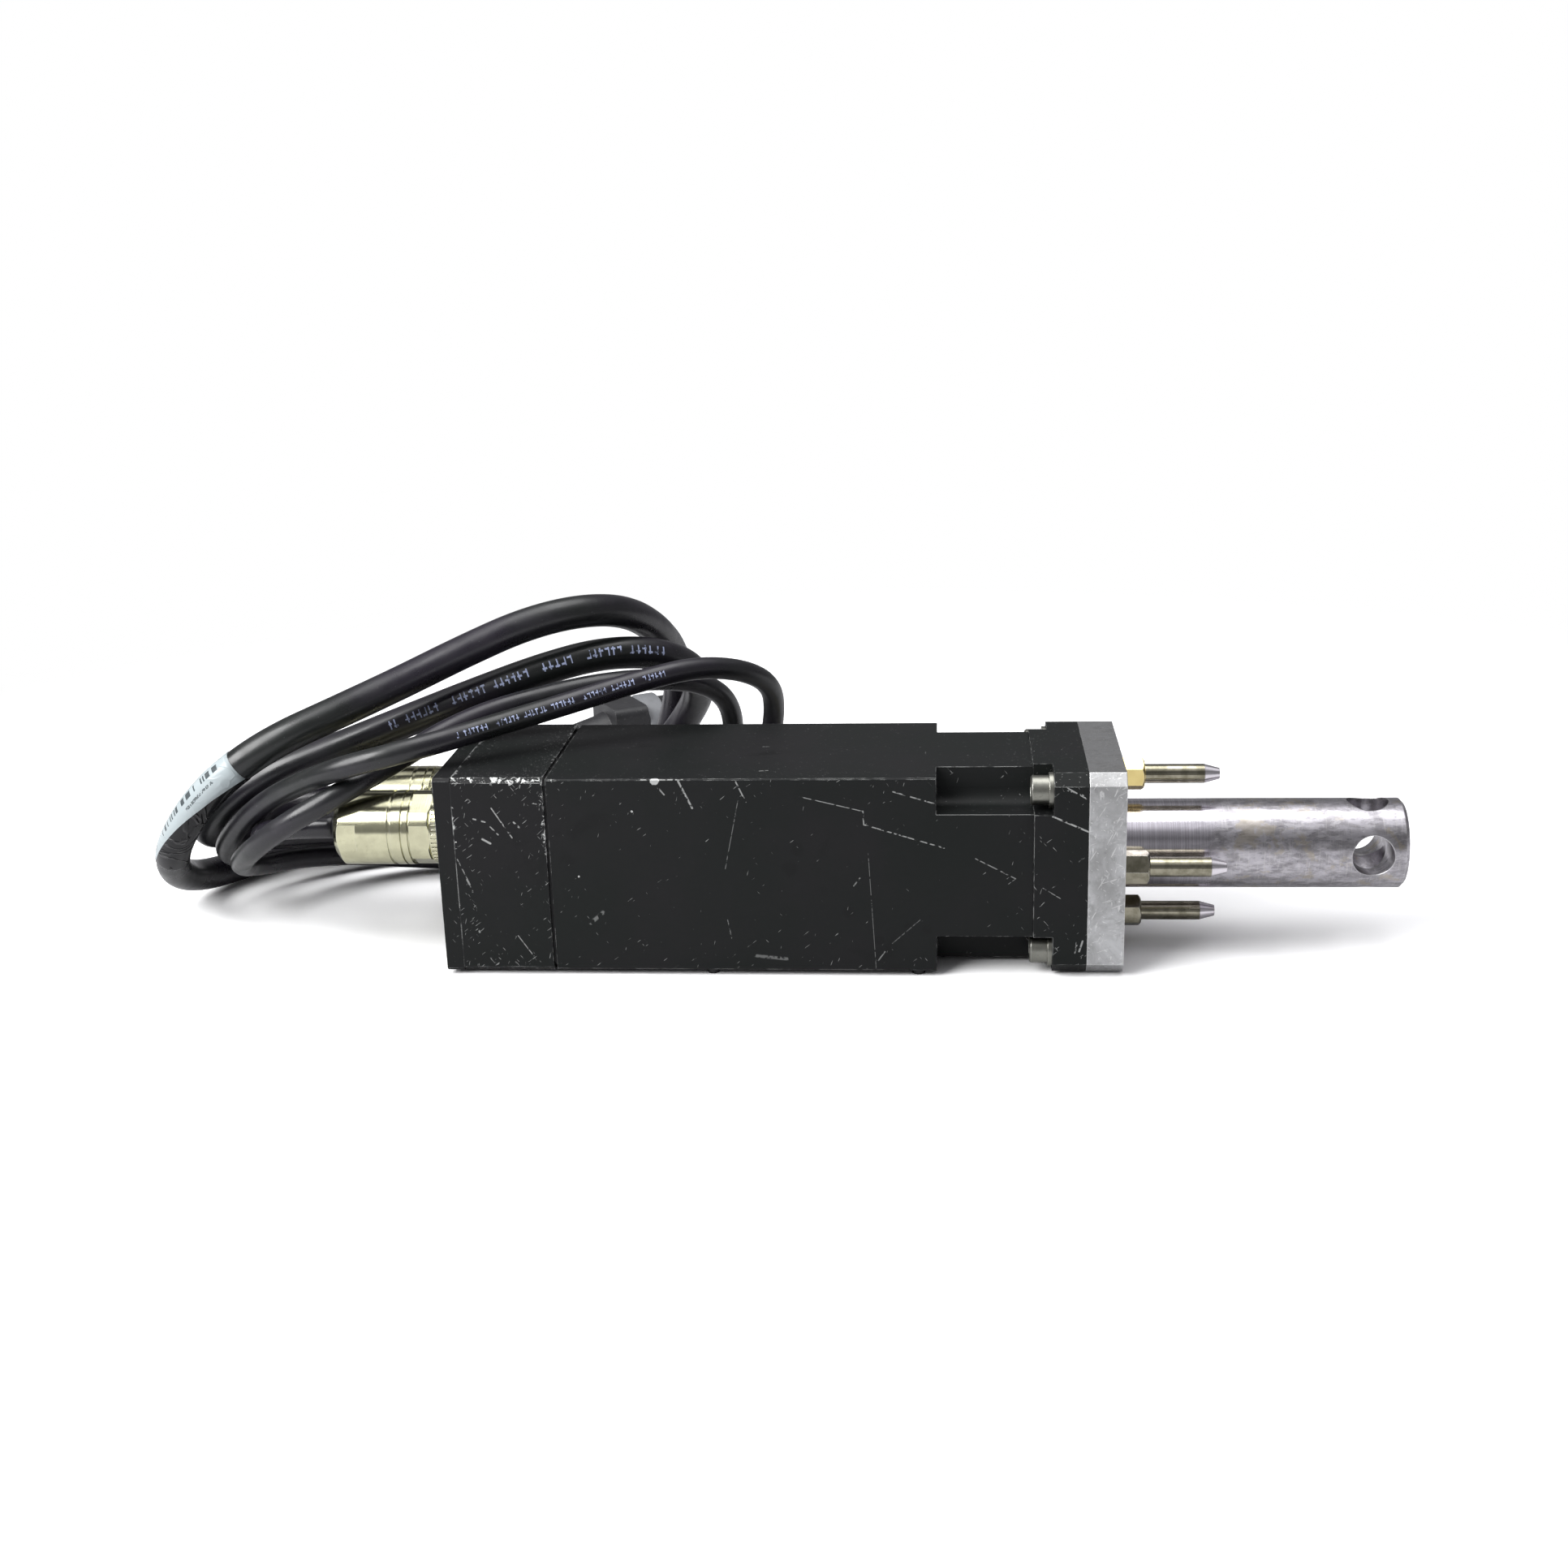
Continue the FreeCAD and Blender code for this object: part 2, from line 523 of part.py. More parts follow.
def coupling_ring(name, y, z):
    """Knurled ring that locks the plug; it turns on the receptacle's barrel."""
    ring = ring_x(KNURL_R, SOCKET_R, KNURL_REAR, KNURL_FRONT, y, z)
    notch = block(KNURL_REAR + 0.5, KNURL_FRONT + 1, -0.28, 0.28, KNURL_R - 0.45, KNURL_R + 1)
    notches = []
    for k in range(KNURLS):
        cut = notch.copy()
        cut.rotate(V(0, 0, 0), V(1, 0, 0), 360.0 * k / KNURLS)
        cut.translate(V(0, y, z))
        notches.append(cut)
    save(name + "_coupling_ring", ring.cut(notches))


def plug_shell(name, y, z, cable_r):
    """Metal backshell with turned grooves, spanner flats and a chamfered tail."""
    full = CONNECTOR_R
    outline = [(CONNECTOR_TAIL, full - 2.4), (CONNECTOR_TAIL + 2.2, full)]
    for rear, front, depth in SHELL_GROOVES:
        outline += [(rear, full), (rear, full - depth), (front, full - depth), (front, full)]
    outline += [(SHELL_HEX - 0.5, full), (SHELL_HEX - 0.5, full - 0.8)]
    outline += [(SHELL_HEX, full - 0.8), (SHELL_HEX, full - 0.1)]
    outline += [(SHELL_FRONT - 0.6, full - 0.1), (SHELL_FRONT, full - 0.7)]
    shell = turned(outline, y, z)
    front = SHELL_FRONT + 1
    shell = shell.cut([rod_x(SOCKET_R, SHELL_FLOOR, front, y, z), rod_x(7.5, -262, SHELL_FLOOR + 1, y, z),
                       rod_x(cable_r + 3, CONNECTOR_TAIL - 1, -261, y, z)])
    flats = []
    for sign in (-1, 1):
        side = sign * (full - 0.85)
        low, high = sorted((side, sign * (full + 1)))
        flats.append(block(CONNECTOR_TAIL - 1, -261.1, y + low, y + high, z - 6, z + 6))
    for k in range(6):
        flat = block(SHELL_HEX, front, -8, 8, full - 0.85, full + 1)
        flat.rotate(V(0, 0, 0), V(1, 0, 0), 60 * k + 90)
        flat.translate(V(0, y, z))
        flats.append(flat)
    save(name + "_plug_shell", shell.cut(flats))
    gland = ring_x(cable_r + 3, cable_r, CONNECTOR_TAIL - 0.5, -261, y, z)
    lip = ring_x(cable_r + 1.8, cable_r, GLAND_END, CONNECTOR_TAIL - 0.5, y, z)
    save(name + "_cable_gland", gland.fuse(lip))
    save(name + "_cable_core", rod_x(cable_r, GLAND_END, -256, y, z))


# ---- cables and their far plugs -------------------------------------------------------------
def cable(name, route, radius):
    """Straight runs joined by tangent arcs; each arc takes 0.45 of its shorter run."""
    points = [V(*p) for p in route]
    edges = []
    smallest = 1e9
    start = points[0]
    for before, here, after in zip(points, points[1:], points[2:]):
        to_before = before - here
        to_after = after - here
        reach = 0.45 * min(to_before.Length, to_after.Length)
        turn = math.pi - to_before.getAngle(to_after)
        bend = reach / math.tan(turn / 2)
        smallest = min(smallest, bend)
        to_before.normalize()
        to_after.normalize()
        first = here + to_before * reach
        last = here + to_after * reach
        inward = to_before + to_after
        inward.normalize()
        middle = here + inward * (math.hypot(bend, reach) - bend)
        edges.append(Part.LineSegment(start, first).toShape())
        edges.append(Part.Arc(first, middle, last).toShape())
        start = last
    edges.append(Part.LineSegment(start, points[-1]).toShape())
    path = Part.Wire(edges)
    length = path.Length
    ahead = points[1] - points[0]
    ring = Part.Wire(Part.makeCircle(radius, points[0], ahead))
    tube = path.makePipeShell([ring], True, False)
    ideal = math.pi * radius ** 2 * length
    print(name, "length", round(length, 1), "smallest bend radius", round(smallest, 1),
          "volume ratio", round(tube.Volume / ideal, 4))
    save(name, tube)


def aimed(shape, place, direction):
    """A shape drawn at the origin along +X, moved to its place and turned to a direction."""
    turn = FreeCAD.Rotation(V(1, 0, 0), direction)
    shape.Placement = FreeCAD.Placement(place, turn)
    return shape


def end_direction(route):
    return V(*route[-1]) - V(*route[-2])


def power_plug():
    """Moulded hood, grey locking collar and round dust cap, lying behind the motor."""
    direction = V(end_direction(POWER_ROUTE).x, end_direction(POWER_ROUTE).y, 0)
    boot = turned([(0, 7.6), (9, 9.5), (14, 11)])
    hood = block(14, 30, -15, 15, -17, 15)
    hood = hood.makeFillet(4.0, [e for e in hood.Edges if abs(e.BoundBox.XLength) > 10])
    save("power_plug_hood", aimed(boot.fuse(hood), POWER_PLUG, direction))
    collar = turned([(30, 15), (31, 16.6), (39, 16.6), (40, 15.4)])
    save("power_plug_collar", aimed(collar, POWER_PLUG, direction))
    cap = turned([(40, 14.6), (50, 14.6), (55, 12.6), (57, 9)])
    save("power_plug_cap", aimed(cap, POWER_PLUG, direction))


def feedback_plug():
    """Small round plug with a knurled grip, lying behind the motor."""
    direction = V(1, 0, 0)
    boot = turned([(0, 5.2), (10, 7.2), (16, 8.2)])
    save("feedback_plug_boot", aimed(boot, FEEDBACK_PLUG, direction))
    grip = turned([(16, 9.0), (17, 10.0), (31, 10.0), (32, 9.0)])
    notches = around_x(block(18, 30, -0.4, 0.4, 9.5, 11), 24)
    save("feedback_plug_grip", aimed(grip.cut(notches), FEEDBACK_PLUG, direction))
    nose = turned([(32, 8.6), (43, 8.6), (44, 7.8)]).cut(rod_x(6.6, 35, 45))
    save("feedback_plug_nose", aimed(nose, FEEDBACK_PLUG, direction))


def connectors():
    for name, side, contacts in (("feedback", -1, 12), ("power", 1, 6)):
        cable_r = FEEDBACK_CABLE_R if side < 0 else POWER_CABLE_R
        y = side * CONNECTOR_Y
        receptacle(name, y, CONNECTOR_Z, contacts)
        coupling_ring(name, y, CONNECTOR_Z)
        plug_shell(name, y, CONNECTOR_Z, cable_r)


def main():
    os.makedirs("parts", exist_ok=True)
    rear_plate()
    rear_housing()
    rear_gasket()
    tie_screws()
    main_housing()
    base_pegs()
    front_cap()
    adapter_plate()
    cap_screws()
    studs()
    rod_tube()
    screw_nut()
    rod_guide_ring()
    rod_bush()
    wiper_seal()
    lead_screw()
    thrust_bearings()
    bearing_retainer()
    bearing_nut()
    rear_bearing()
    stator()
    rotor()
    encoder()
    connectors()
    cable("power_cable", POWER_ROUTE, POWER_CABLE_R)
    cable("feedback_cable", FEEDBACK_ROUTE, FEEDBACK_CABLE_R)
    power_plug()
    feedback_plug()


main()
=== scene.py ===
"""Looks for an electric linear actuator: materials, cables, label, floor, lights and camera.

Everything is in metres in the model's own frame: +X along the rod, +Y away from the viewer, +Z up.
"""
import json
import math

import bpy
from mathutils import Matrix, Vector


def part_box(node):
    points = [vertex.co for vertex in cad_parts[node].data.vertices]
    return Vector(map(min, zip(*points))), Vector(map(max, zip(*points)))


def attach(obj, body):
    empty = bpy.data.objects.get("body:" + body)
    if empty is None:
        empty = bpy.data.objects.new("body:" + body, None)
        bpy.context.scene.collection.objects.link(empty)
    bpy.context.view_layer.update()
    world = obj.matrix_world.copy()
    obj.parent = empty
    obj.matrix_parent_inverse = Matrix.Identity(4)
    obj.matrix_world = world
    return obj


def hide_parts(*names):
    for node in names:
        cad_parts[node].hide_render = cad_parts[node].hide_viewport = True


MM = 0.001
TOWARDS_VIEWER = Vector((0.0, -0.95, 0.3))
# camera: place in metres, turns in degrees, lens and sensor in millimetres
CAMERA_PLACE = (-0.05736, -0.63745, 0.22064)
CAMERA_YAW = 5.1906
CAMERA_PITCH = -17.2678
CAMERA_ROLL = -1.7375
CAMERA_LENS = 44.14
CAMERA_SENSOR = 36.0
# floor: half its width, and how far from the object's middle it fades to plain white
FLOOR_REACH = 14.0
FADE_START = 0.34
FADE_END = 0.62
# room that the surfaces reflect: height from bottom to top, and brightness there
ROOM = [(0.0, 0.20), (0.28, 0.26), (0.50, 0.14), (0.74, 0.32), (0.88, 0.95), (1.0, 1.05)]
# middle of the object, where the lights point
MIDDLE = (-0.09, 0.0, 0.0)

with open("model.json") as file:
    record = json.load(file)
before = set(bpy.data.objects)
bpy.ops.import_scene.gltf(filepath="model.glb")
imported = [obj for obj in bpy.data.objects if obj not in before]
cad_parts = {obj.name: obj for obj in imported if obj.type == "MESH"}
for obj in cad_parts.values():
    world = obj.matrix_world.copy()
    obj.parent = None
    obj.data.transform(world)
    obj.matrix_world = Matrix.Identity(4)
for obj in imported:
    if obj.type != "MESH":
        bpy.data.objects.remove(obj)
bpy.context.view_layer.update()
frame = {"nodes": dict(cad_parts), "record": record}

# the cables' routes, in millimetres: the same points that the solid tubes follow
POWER_ROUTE = [
    (-271.5, 14.5, 11), (-288.5, 14.5, 11), (-305, 19.5, 7.5), (-316.5, 33, 1), (-317, 53, -6),
    (-304, 71, -13), (-286, 84, -21), (-265, 92, -27), (-242, 96, -30.2), (-220, 95, -29),
    (-202, 99, -22), (-187, 106, -10), (-173, 109, 4), (-162, 103, 19), (-155, 90, 33),
    (-156, 74, 46), (-167, 60, 55), (-186, 49, 57.5), (-206, 40, 54), (-230, 34, 46.5),
    (-257, 29, 37), (-283, 22, 28), (-306, 16.5, 20.5), (-327, 17.5, 7), (-339, 31, -6),
    (-337, 51, -13.5), (-323, 68, -20), (-304, 86, -26), (-281, 103, -30.2), (-255, 112, -30.2),
    (-227, 116, -30.2), (-203, 122, -27), (-184, 128, -14), (-173, 125, 6), (-167, 115, 27),
    (-166, 98, 46), (-170, 77, 61), (-178, 58, 71.5), (-192, 43, 75), (-211, 34, 72),
    (-232, 26, 64), (-254, 18, 54.5), (-275, 7, 46.5), (-296, -2, 38.5), (-314, -6, 27),
    (-329, -4, 12), (-341, 4, -5), (-347, 20, -19), (-346, 42, -28), (-336, 64, -30.2),
    (-323, 86, -30.2), (-312, 110, -30.2), (-297, 136, -30.2), (-276, 163, -28),
    (-253, 185, -19.2), (-228, 200, -19.2),
]
FEEDBACK_ROUTE = [
    (-271.5, -14.5, 11), (-286, -14.5, 11), (-299, -9, 7.5), (-307, 4, 1), (-308, 21, -4.5),
    (-302, 38, -9.5), (-289, 54, -14), (-270, 63, -20), (-247, 63, -28), (-222, 59, -32.2),
    (-195, 61, -32.2), (-170, 59, -31), (-150, 63, -22), (-137, 69, -7), (-128, 72, 11),
    (-124, 68, 29), (-124, 57, 43), (-133, 44, 52), (-149, 32, 56), (-167, 21, 54), (-188, 9, 50),
    (-208, -3, 46.5), (-227, -18, 44), (-245, -29, 41.5), (-263, -29, 37), (-280, -20, 29),
    (-297, -8, 19.5), (-314, 2, 6), (-326, 15, -8), (-326, 34, -18.5), (-318, 53, -25),
    (-301, 69, -29), (-281, 79, -32.2), (-255, 82, -32.2), (-227, 81, -32.2), (-200, 83, -32.2),
    (-176, 86, -29), (-157, 87, -17), (-146, 85, 0), (-141, 80, 18), (-142, 70, 34),
    (-150, 57, 44), (-165, 43, 49), (-183, 31, 50.5), (-203, 23, 48), (-222, 15, 44.5),
    (-237, 5, 39.5), (-248, -6, 34), (-257, -18, 30.5), (-269, -28, 25), (-285, -29, 16.5),
    (-301, -21, 4.5), (-313, -4, -7), (-315, 18, -15), (-306, 38, -19), (-292, 56, -24),
    (-272, 69, -30), (-248, 73, -32.2), (-222, 71, -32.2), (-195, 73, -32.2), (-169, 71, -30),
    (-144, 73, -26.2), (-120, 73, -26.2),
]
POWER_RADIUS = 6.0 * MM
FEEDBACK_RADIUS = 4.0 * MM
CABLE_SIDES = 28
CURVE_STEPS = 10
# where each cable's print starts and ends, in millimetres, and one mark's length as a share of the radius
POWER_PRINT = [(-262, 27, 35), (-163, 62, 53)]
FEEDBACK_PRINT = [(-226, -18, 44), (-160, 25, 55)]
PRINT_CELL = 0.38
# label on the power cable: its ends in millimetres, thickness and the width of one bar
LABEL_ENDS = [(-309, -5, 31), (-342, 6, -9)]
LABEL_THICKNESS = 0.22 * MM
LABEL_BAR = 0.62 * MM
LABEL_SIDES = 40


# ---- small helpers --------------------------------------------------------------------------
def new_object(name, data):
    item = bpy.data.objects.new(name, data)
    bpy.context.scene.collection.objects.link(item)
    return item


def mesh_object(name, points, faces, smooth=True):
    mesh = bpy.data.meshes.new(name)
    mesh.from_pydata([tuple(p) for p in points], [], faces)
    mesh.validate()
    if smooth:
        mesh.polygons.foreach_set("use_smooth", [True] * len(mesh.polygons))
    return new_object(name, mesh)


def paint(item, material):
    if not item.data.materials:
        item.data.materials.append(material)
    for slot in item.material_slots:
        slot.material = material


class Graph:
    """One material's node tree, with a short call for each kind of node."""

    def __init__(self, name, colour, roughness, metallic=0.0):
        self.material = bpy.data.materials.new(name)
        self.material.use_nodes = True
        self.tree = self.material.node_tree
        self.shader = self.tree.nodes["Principled BSDF"]
        self.set("Base Color", (*colour, 1.0))
        self.set("Roughness", roughness)
        self.set("Metallic", metallic)
        self.place = self.add("TexCoord").outputs["Object"]
        self.x, self.y, self.z = self.add("SeparateXYZ", self.place).outputs

    def set(self, socket, value):
        self.feed(self.shader.inputs[socket], value)

    def feed(self, socket, value):
        if isinstance(value, bpy.types.NodeSocket):
            self.tree.links.new(value, socket)
        elif value is not None:
            socket.default_value = value

    def add(self, kind, *inputs, **settings):
        node = self.tree.nodes.new("ShaderNode" + kind)
        for name, value in settings.items():
            setattr(node, name, value)
        for socket, value in zip(node.inputs, inputs):
            self.feed(socket, value)
        return node

    def math(self, operation, a, b=0.5, clamp=False):
        return self.add("Math", a, b, operation=operation, use_clamp=clamp).outputs[0]

    def total(self, *values):
        result = values[0]
        for value in values[1:]:
            result = self.math("ADD", result, value)
        return result

    def product(self, *values):
        result = values[0]
        for value in values[1:]:
            result = self.math("MULTIPLY", result, value)
        return result

    def most(self, *values):
        result = values[0]
        for value in values[1:]:
            result = self.math("MAXIMUM", result, value)
        return result

    def step(self, value, low, high, start=0.0, end=1.0):
        """Runs smoothly from start to end as value goes from low to high."""
        node = self.add("MapRange", value, low, high, start, end, interpolation_type="SMOOTHSTEP")
        return node.outputs[0]

    def within(self, value, low, high):
        """1 between two values, 0 outside them."""
        return self.product(self.math("GREATER_THAN", value, low), self.math("LESS_THAN", value, high))

    def soft_span(self, value, low, high, soft=0.01):
        """The same with soft ends, which lie inside the two values."""
        return self.product(self.step(value, low, low + soft), self.step(value, high, high - soft))

    def near_level(self, value, level, reach):
        return self.math("LESS_THAN", self.math("ABSOLUTE", self.math("SUBTRACT", value, level)), reach)

    def stretched(self, scale, turn=(0.0, 0.0, 0.0)):
        """The place on the object, turned by degrees and then scaled along each axis."""
        turned = self.add("Mapping", self.place, None, [math.radians(a) for a in turn])
        return self.add("Mapping", turned.outputs[0], None, None, scale).outputs[0]

    def noise(self, scale, detail=3.0, roughness=0.5, where=None, distortion=0.0):
        node = self.add("TexNoise")
        self.feed(node.inputs["Vector"], self.place if where is None else where)
        self.feed(node.inputs["Scale"], scale)
        self.feed(node.inputs["Detail"], detail)
        self.feed(node.inputs["Roughness"], roughness)
        self.feed(node.inputs["Distortion"], distortion)
        return node.outputs["Fac"]

    def colours(self, factor, first, second):
        node = self.add("Mix", factor, data_type="RGBA")
        self.feed(node.inputs[6], first if isinstance(first, bpy.types.NodeSocket) else (*first, 1.0))
        self.feed(node.inputs[7], second if isinstance(second, bpy.types.NodeSocket) else (*second, 1.0))
        return node.outputs[2]

    def edges(self, radius):
        """1 on sharp edges, 0 on flat faces, and the rounded normal that goes with it."""
        rounded = self.add("Bevel", radius, samples=6).outputs[0]
        flat = self.add("NewGeometry").outputs["Normal"]
        node = self.add("VectorMath", rounded, flat, operation="DOT_PRODUCT")
        bend = self.math("SUBTRACT", 1.0, node.outputs["Value"])
        return self.step(bend, 0.004, 0.06), rounded

    def bump(self, height, distance, strength=1.0, normal=None):
        node = self.add("Bump")
        self.feed(node.inputs["Height"], height)
        self.feed(node.inputs["Distance"], distance)
        self.feed(node.inputs["Strength"], strength)
        self.feed(node.inputs["Normal"], normal)
        self.tree.links.new(node.outputs[0], self.shader.inputs["Normal"])
        return node.outputs[0]

    def stroke(self, start, end, width):
        """A straight mark between two points, all in millimetres."""
        first = Vector(start) * MM
        run = (Vector(end) - Vector(start)) * MM
        away = self.add("VectorMath", self.place, first, operation="SUBTRACT").outputs[0]
        share = self.add("VectorMath", away, run / run.length_squared, operation="DOT_PRODUCT")
        share = self.math("ADD", share.outputs["Value"], 0.0, clamp=True)
        near = self.add("VectorMath", run, operation="SCALE")
        self.feed(near.inputs["Scale"], share)
        gap = self.add("VectorMath", away, near.outputs[0], operation="DISTANCE").outputs["Value"]
        return self.step(gap, width * MM, width * 0.35 * MM)

    def spot(self, place, size, noise, ragged, core):
        """A round mark in millimetres. Its outline follows the noise, and it is full inside its core."""
        gap = self.add("VectorMath", self.place, Vector(place) * MM, operation="DISTANCE").outputs["Value"]
        shift = self.product(self.math("SUBTRACT", noise, 0.5), size * ragged * MM)
        return self.step(self.total(gap, shift), size * MM, size * core * MM)


# ---- camera ---------------------------------------------------------------------------------
def add_camera():
    data = bpy.data.cameras.new("camera")
    data.lens = CAMERA_LENS
    data.sensor_width = CAMERA_SENSOR
    data.clip_start = 0.02
    camera = new_object("camera", data)
    yaw = Matrix.Rotation(math.radians(CAMERA_YAW), 4, "Z")
    pitch = Matrix.Rotation(math.radians(90.0 + CAMERA_PITCH), 4, "X")
    roll = Matrix.Rotation(math.radians(CAMERA_ROLL), 4, "Z")
    camera.matrix_world = Matrix.Translation(CAMERA_PLACE) @ yaw @ pitch @ roll
    bpy.context.scene.camera = camera


# ---- cables ---------------------------------------------------------------------------------
def centreline(name, route):
    """Points along the smooth curve that has the route as its control points."""
    curve = bpy.data.curves.new(name, "CURVE")
    curve.dimensions = "3D"
    curve.resolution_u = CURVE_STEPS
    spline = curve.splines.new("NURBS")
    spline.points.add(len(route) - 1)
    for point, place in zip(spline.points, route):
        point.co = (*(Vector(place) * MM), 1.0)
    spline.order_u = 3
    spline.use_endpoint_u = True
    holder = new_object(name, curve)
    line = bpy.data.meshes.new_from_object(holder)
    points = [vertex.co.copy() for vertex in line.vertices]
    bpy.data.objects.remove(holder)
    return points


def distances(points):
    """How far along the line each point is."""
    result = [0.0]
    for before, after in zip(points, points[1:]):
        result.append(result[-1] + (after - before).length)
    return result


def nearest(points, place):
    """Number of the point that is nearest to a place given in millimetres."""
    goal = Vector(place) * MM
    return min(range(len(points)), key=lambda k: (points[k] - goal).length)


def tangents(points):
    ends = [points[0]] + points[:-1]
    starts = points[1:] + [points[-1]]
    return [(after - before).normalized() for before, after in zip(ends, starts)]


def sideways(directions):
    """One vector square to each direction, carried along the line without a twist."""
    side = directions[0].orthogonal().normalized()
    result = []
    for direction in directions:
        side = (side - direction * side.dot(direction)).normalized()
        result.append(side.copy())
    return result


def tube_faces(rings, sides):
    faces = []
    for ring in range(rings - 1):
        for k in range(sides):
            a = ring * sides + k
            b = ring * sides + (k + 1) % sides
            faces.append((a, b, b + sides, a + sides))
    last = (rings - 1) * sides
    faces.append(tuple(reversed(range(sides))))
    faces.append(tuple(range(last, last + sides)))
    return faces


def map_tube(item, along, sides):
    """Adds a UV map that holds metres along the tube and the share of a turn round it."""
    layer = item.data.uv_layers.new(name="cable")
    for face in item.data.polygons:
        for corner, index in zip(face.loop_indices, face.vertices):
            ring, k = divmod(index, sides)
            wraps = k == 0 and any(v % sides == sides - 1 for v in face.vertices)
            layer.data[corner].uv = (along[ring], 1.0 if wraps else k / sides)


def tube(name, points, radius, sides, facing):
    """A round tube. At point number `facing`, the middle of its UV map faces the viewer."""
    directions = tangents(points)
    across = sideways(directions)
    up = directions[facing].cross(across[facing])
    start = math.atan2(TOWARDS_VIEWER.dot(up), TOWARDS_VIEWER.dot(across[facing])) - math.pi
    verts = []
    for point, direction, side in zip(points, directions, across):
        up = direction.cross(side)
        for k in range(sides):
            angle = start + 2.0 * math.pi * k / sides
            verts.append(point + (side * math.cos(angle) + up * math.sin(angle)) * radius)
    item = mesh_object(name, verts, tube_faces(len(points), sides))
    map_tube(item, distances(points), sides)
    return item


def unreadable_print(g, along, turn, start, end, size):
    """Ink of one mark per cell along the cable, a tick and a dash, with gaps that break up the row."""
    cell = g.math("DIVIDE", along, size)
    number = g.math("FLOOR", cell)
    share = g.math("FRACT", cell)
    pick = g.add("TexWhiteNoise", None, number, noise_dimensions="1D").outputs["Value"]
    group = g.math("GREATER_THAN", g.math("FRACT", g.math("MULTIPLY", number, 0.135)), 0.2)
    height = g.math("SUBTRACT", turn, 0.5)
    reach = g.math("LESS_THAN", g.math("ABSOLUTE", height), 0.044)
    tick_place = g.math("MULTIPLY", g.math("FRACT", g.math("MULTIPLY", pick, 7.0)), 0.5)
    tick = g.near_level(share, tick_place, 0.11)
    level = g.math("MULTIPLY", g.math("SUBTRACT", pick, 0.5), 0.07)
    dash = g.product(g.near_level(height, level, 0.010), g.math("LESS_THAN", share, 0.7))
    worn = g.step(g.noise(240.0, 3.0, 0.7), 0.34, 0.50)
    return g.product(g.most(tick, dash), reach, g.within(along, start, end), group, worn)


def cable_material(name, print_from, print_to, print_size):
    """Black jacket with a faint sheen, handling marks and a row of printed ticks."""
    g = Graph(name, (0.010, 0.010, 0.011), 0.34)
    uv = g.add("UVMap", uv_map="cable").outputs[0]
    along, turn, _ = g.add("SeparateXYZ", uv).outputs
    tint = g.noise(16.0, 3.0)
    jacket = g.colours(g.step(tint, 0.4, 0.62), (0.0085, 0.0098, 0.0095), (0.0125, 0.0105, 0.0165))
    dust = g.step(g.noise(1300.0, 2.0, 0.6), 0.70, 0.76)
    jacket = g.colours(g.product(dust, 0.35), jacket, (0.16, 0.16, 0.17))
    ink = unreadable_print(g, along, turn, print_from, print_to, print_size)
    g.set("Base Color", g.colours(ink, jacket, (0.36, 0.41, 0.60)))
    rub = g.noise(90.0, 4.0, 0.6)
    g.set("Roughness", g.step(rub, 0.35, 0.7, 0.27, 0.42))
    g.set("Coat Weight", 0.15)
    g.set("Coat Roughness", 0.22)
    ripple = g.total(g.product(g.noise(140.0, 2.0), 0.6), g.product(g.noise(2600.0, 2.0), 0.12))
    g.bump(ripple, 0.25 * MM, 0.6)
    return g.material


def add_cable(name, route, radius, prints):
    points = centreline(name + "_line", route)
    along = distances(points)
    first, last = (nearest(points, place) for place in prints)
    item = tube(name + "_jacket", points, radius, CABLE_SIDES, (first + last) // 2)
    low, high = sorted((along[first], along[last]))
    paint(item, cable_material(name + "_jacket", low, high, radius * PRINT_CELL))
    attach(item, "housing")
    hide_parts(name)
    return item, points, along


def label_ink(g, along, turn, share):
    """Generic bars, a row of small dashes and a block at the foot. Nothing in it can be read."""
    bar = g.math("FLOOR", g.math("DIVIDE", along, LABEL_BAR))
    pick = g.add("TexWhiteNoise", None, bar, noise_dimensions="1D").outputs["Value"]
    code = g.product(g.math("GREATER_THAN", pick, 0.45), g.within(turn, 0.565, 0.635),
                     g.soft_span(share, 0.08, 0.72), 0.95)
    small = g.product(g.near_level(turn, 0.505, 0.014), g.math("GREATER_THAN", g.noise(1500.0, 1.0), 0.47),
                      g.soft_span(share, 0.15, 0.42), 0.8)
    grain = g.math("GREATER_THAN", g.noise(1200.0, 1.0), 0.48)
    block = g.product(g.math("GREATER_THAN", turn, 0.60), grain, g.soft_span(share, 0.84, 0.93), 0.7)
    return g.most(code, small, block)


def label_material(length):
    """Paper label under clear film: pale with generic bars on the outer side, bare film inside."""
    g = Graph("cable_label", (0.5, 0.52, 0.55), 0.3)
    uv = g.add("UVMap", uv_map="cable").outputs[0]
    along, turn, _ = g.add("SeparateXYZ", uv).outputs
    share = g.math("DIVIDE", along, length)
    edge = g.total(g.step(share, -0.35, 1.2, 0.27, 0.575), g.product(g.noise(70.0), 0.02))
    paper = g.product(g.within(turn, edge, 0.86), g.math("LESS_THAN", share, 0.97))
    aged = g.colours(g.noise(120.0), (0.30, 0.345, 0.36), (0.42, 0.465, 0.48))
    printed = g.colours(label_ink(g, along, turn, share), aged, (0.05, 0.06, 0.065))
    g.set("Base Color", g.colours(paper, (0.009, 0.009, 0.010), printed))
    g.set("Roughness", 0.2)
    g.set("Specular IOR Level", 0.3)
    fold = g.math("ABSOLUTE", g.math("SUBTRACT", g.noise(70.0, 2.0, 0.5, None, 0.8), 0.5))
    bare = g.math("SUBTRACT", 1.0, g.product(paper, 0.85))
    g.bump(g.product(g.step(fold, 0.03, 0.0), bare), 0.6 * MM, 0.9)
    return g.material


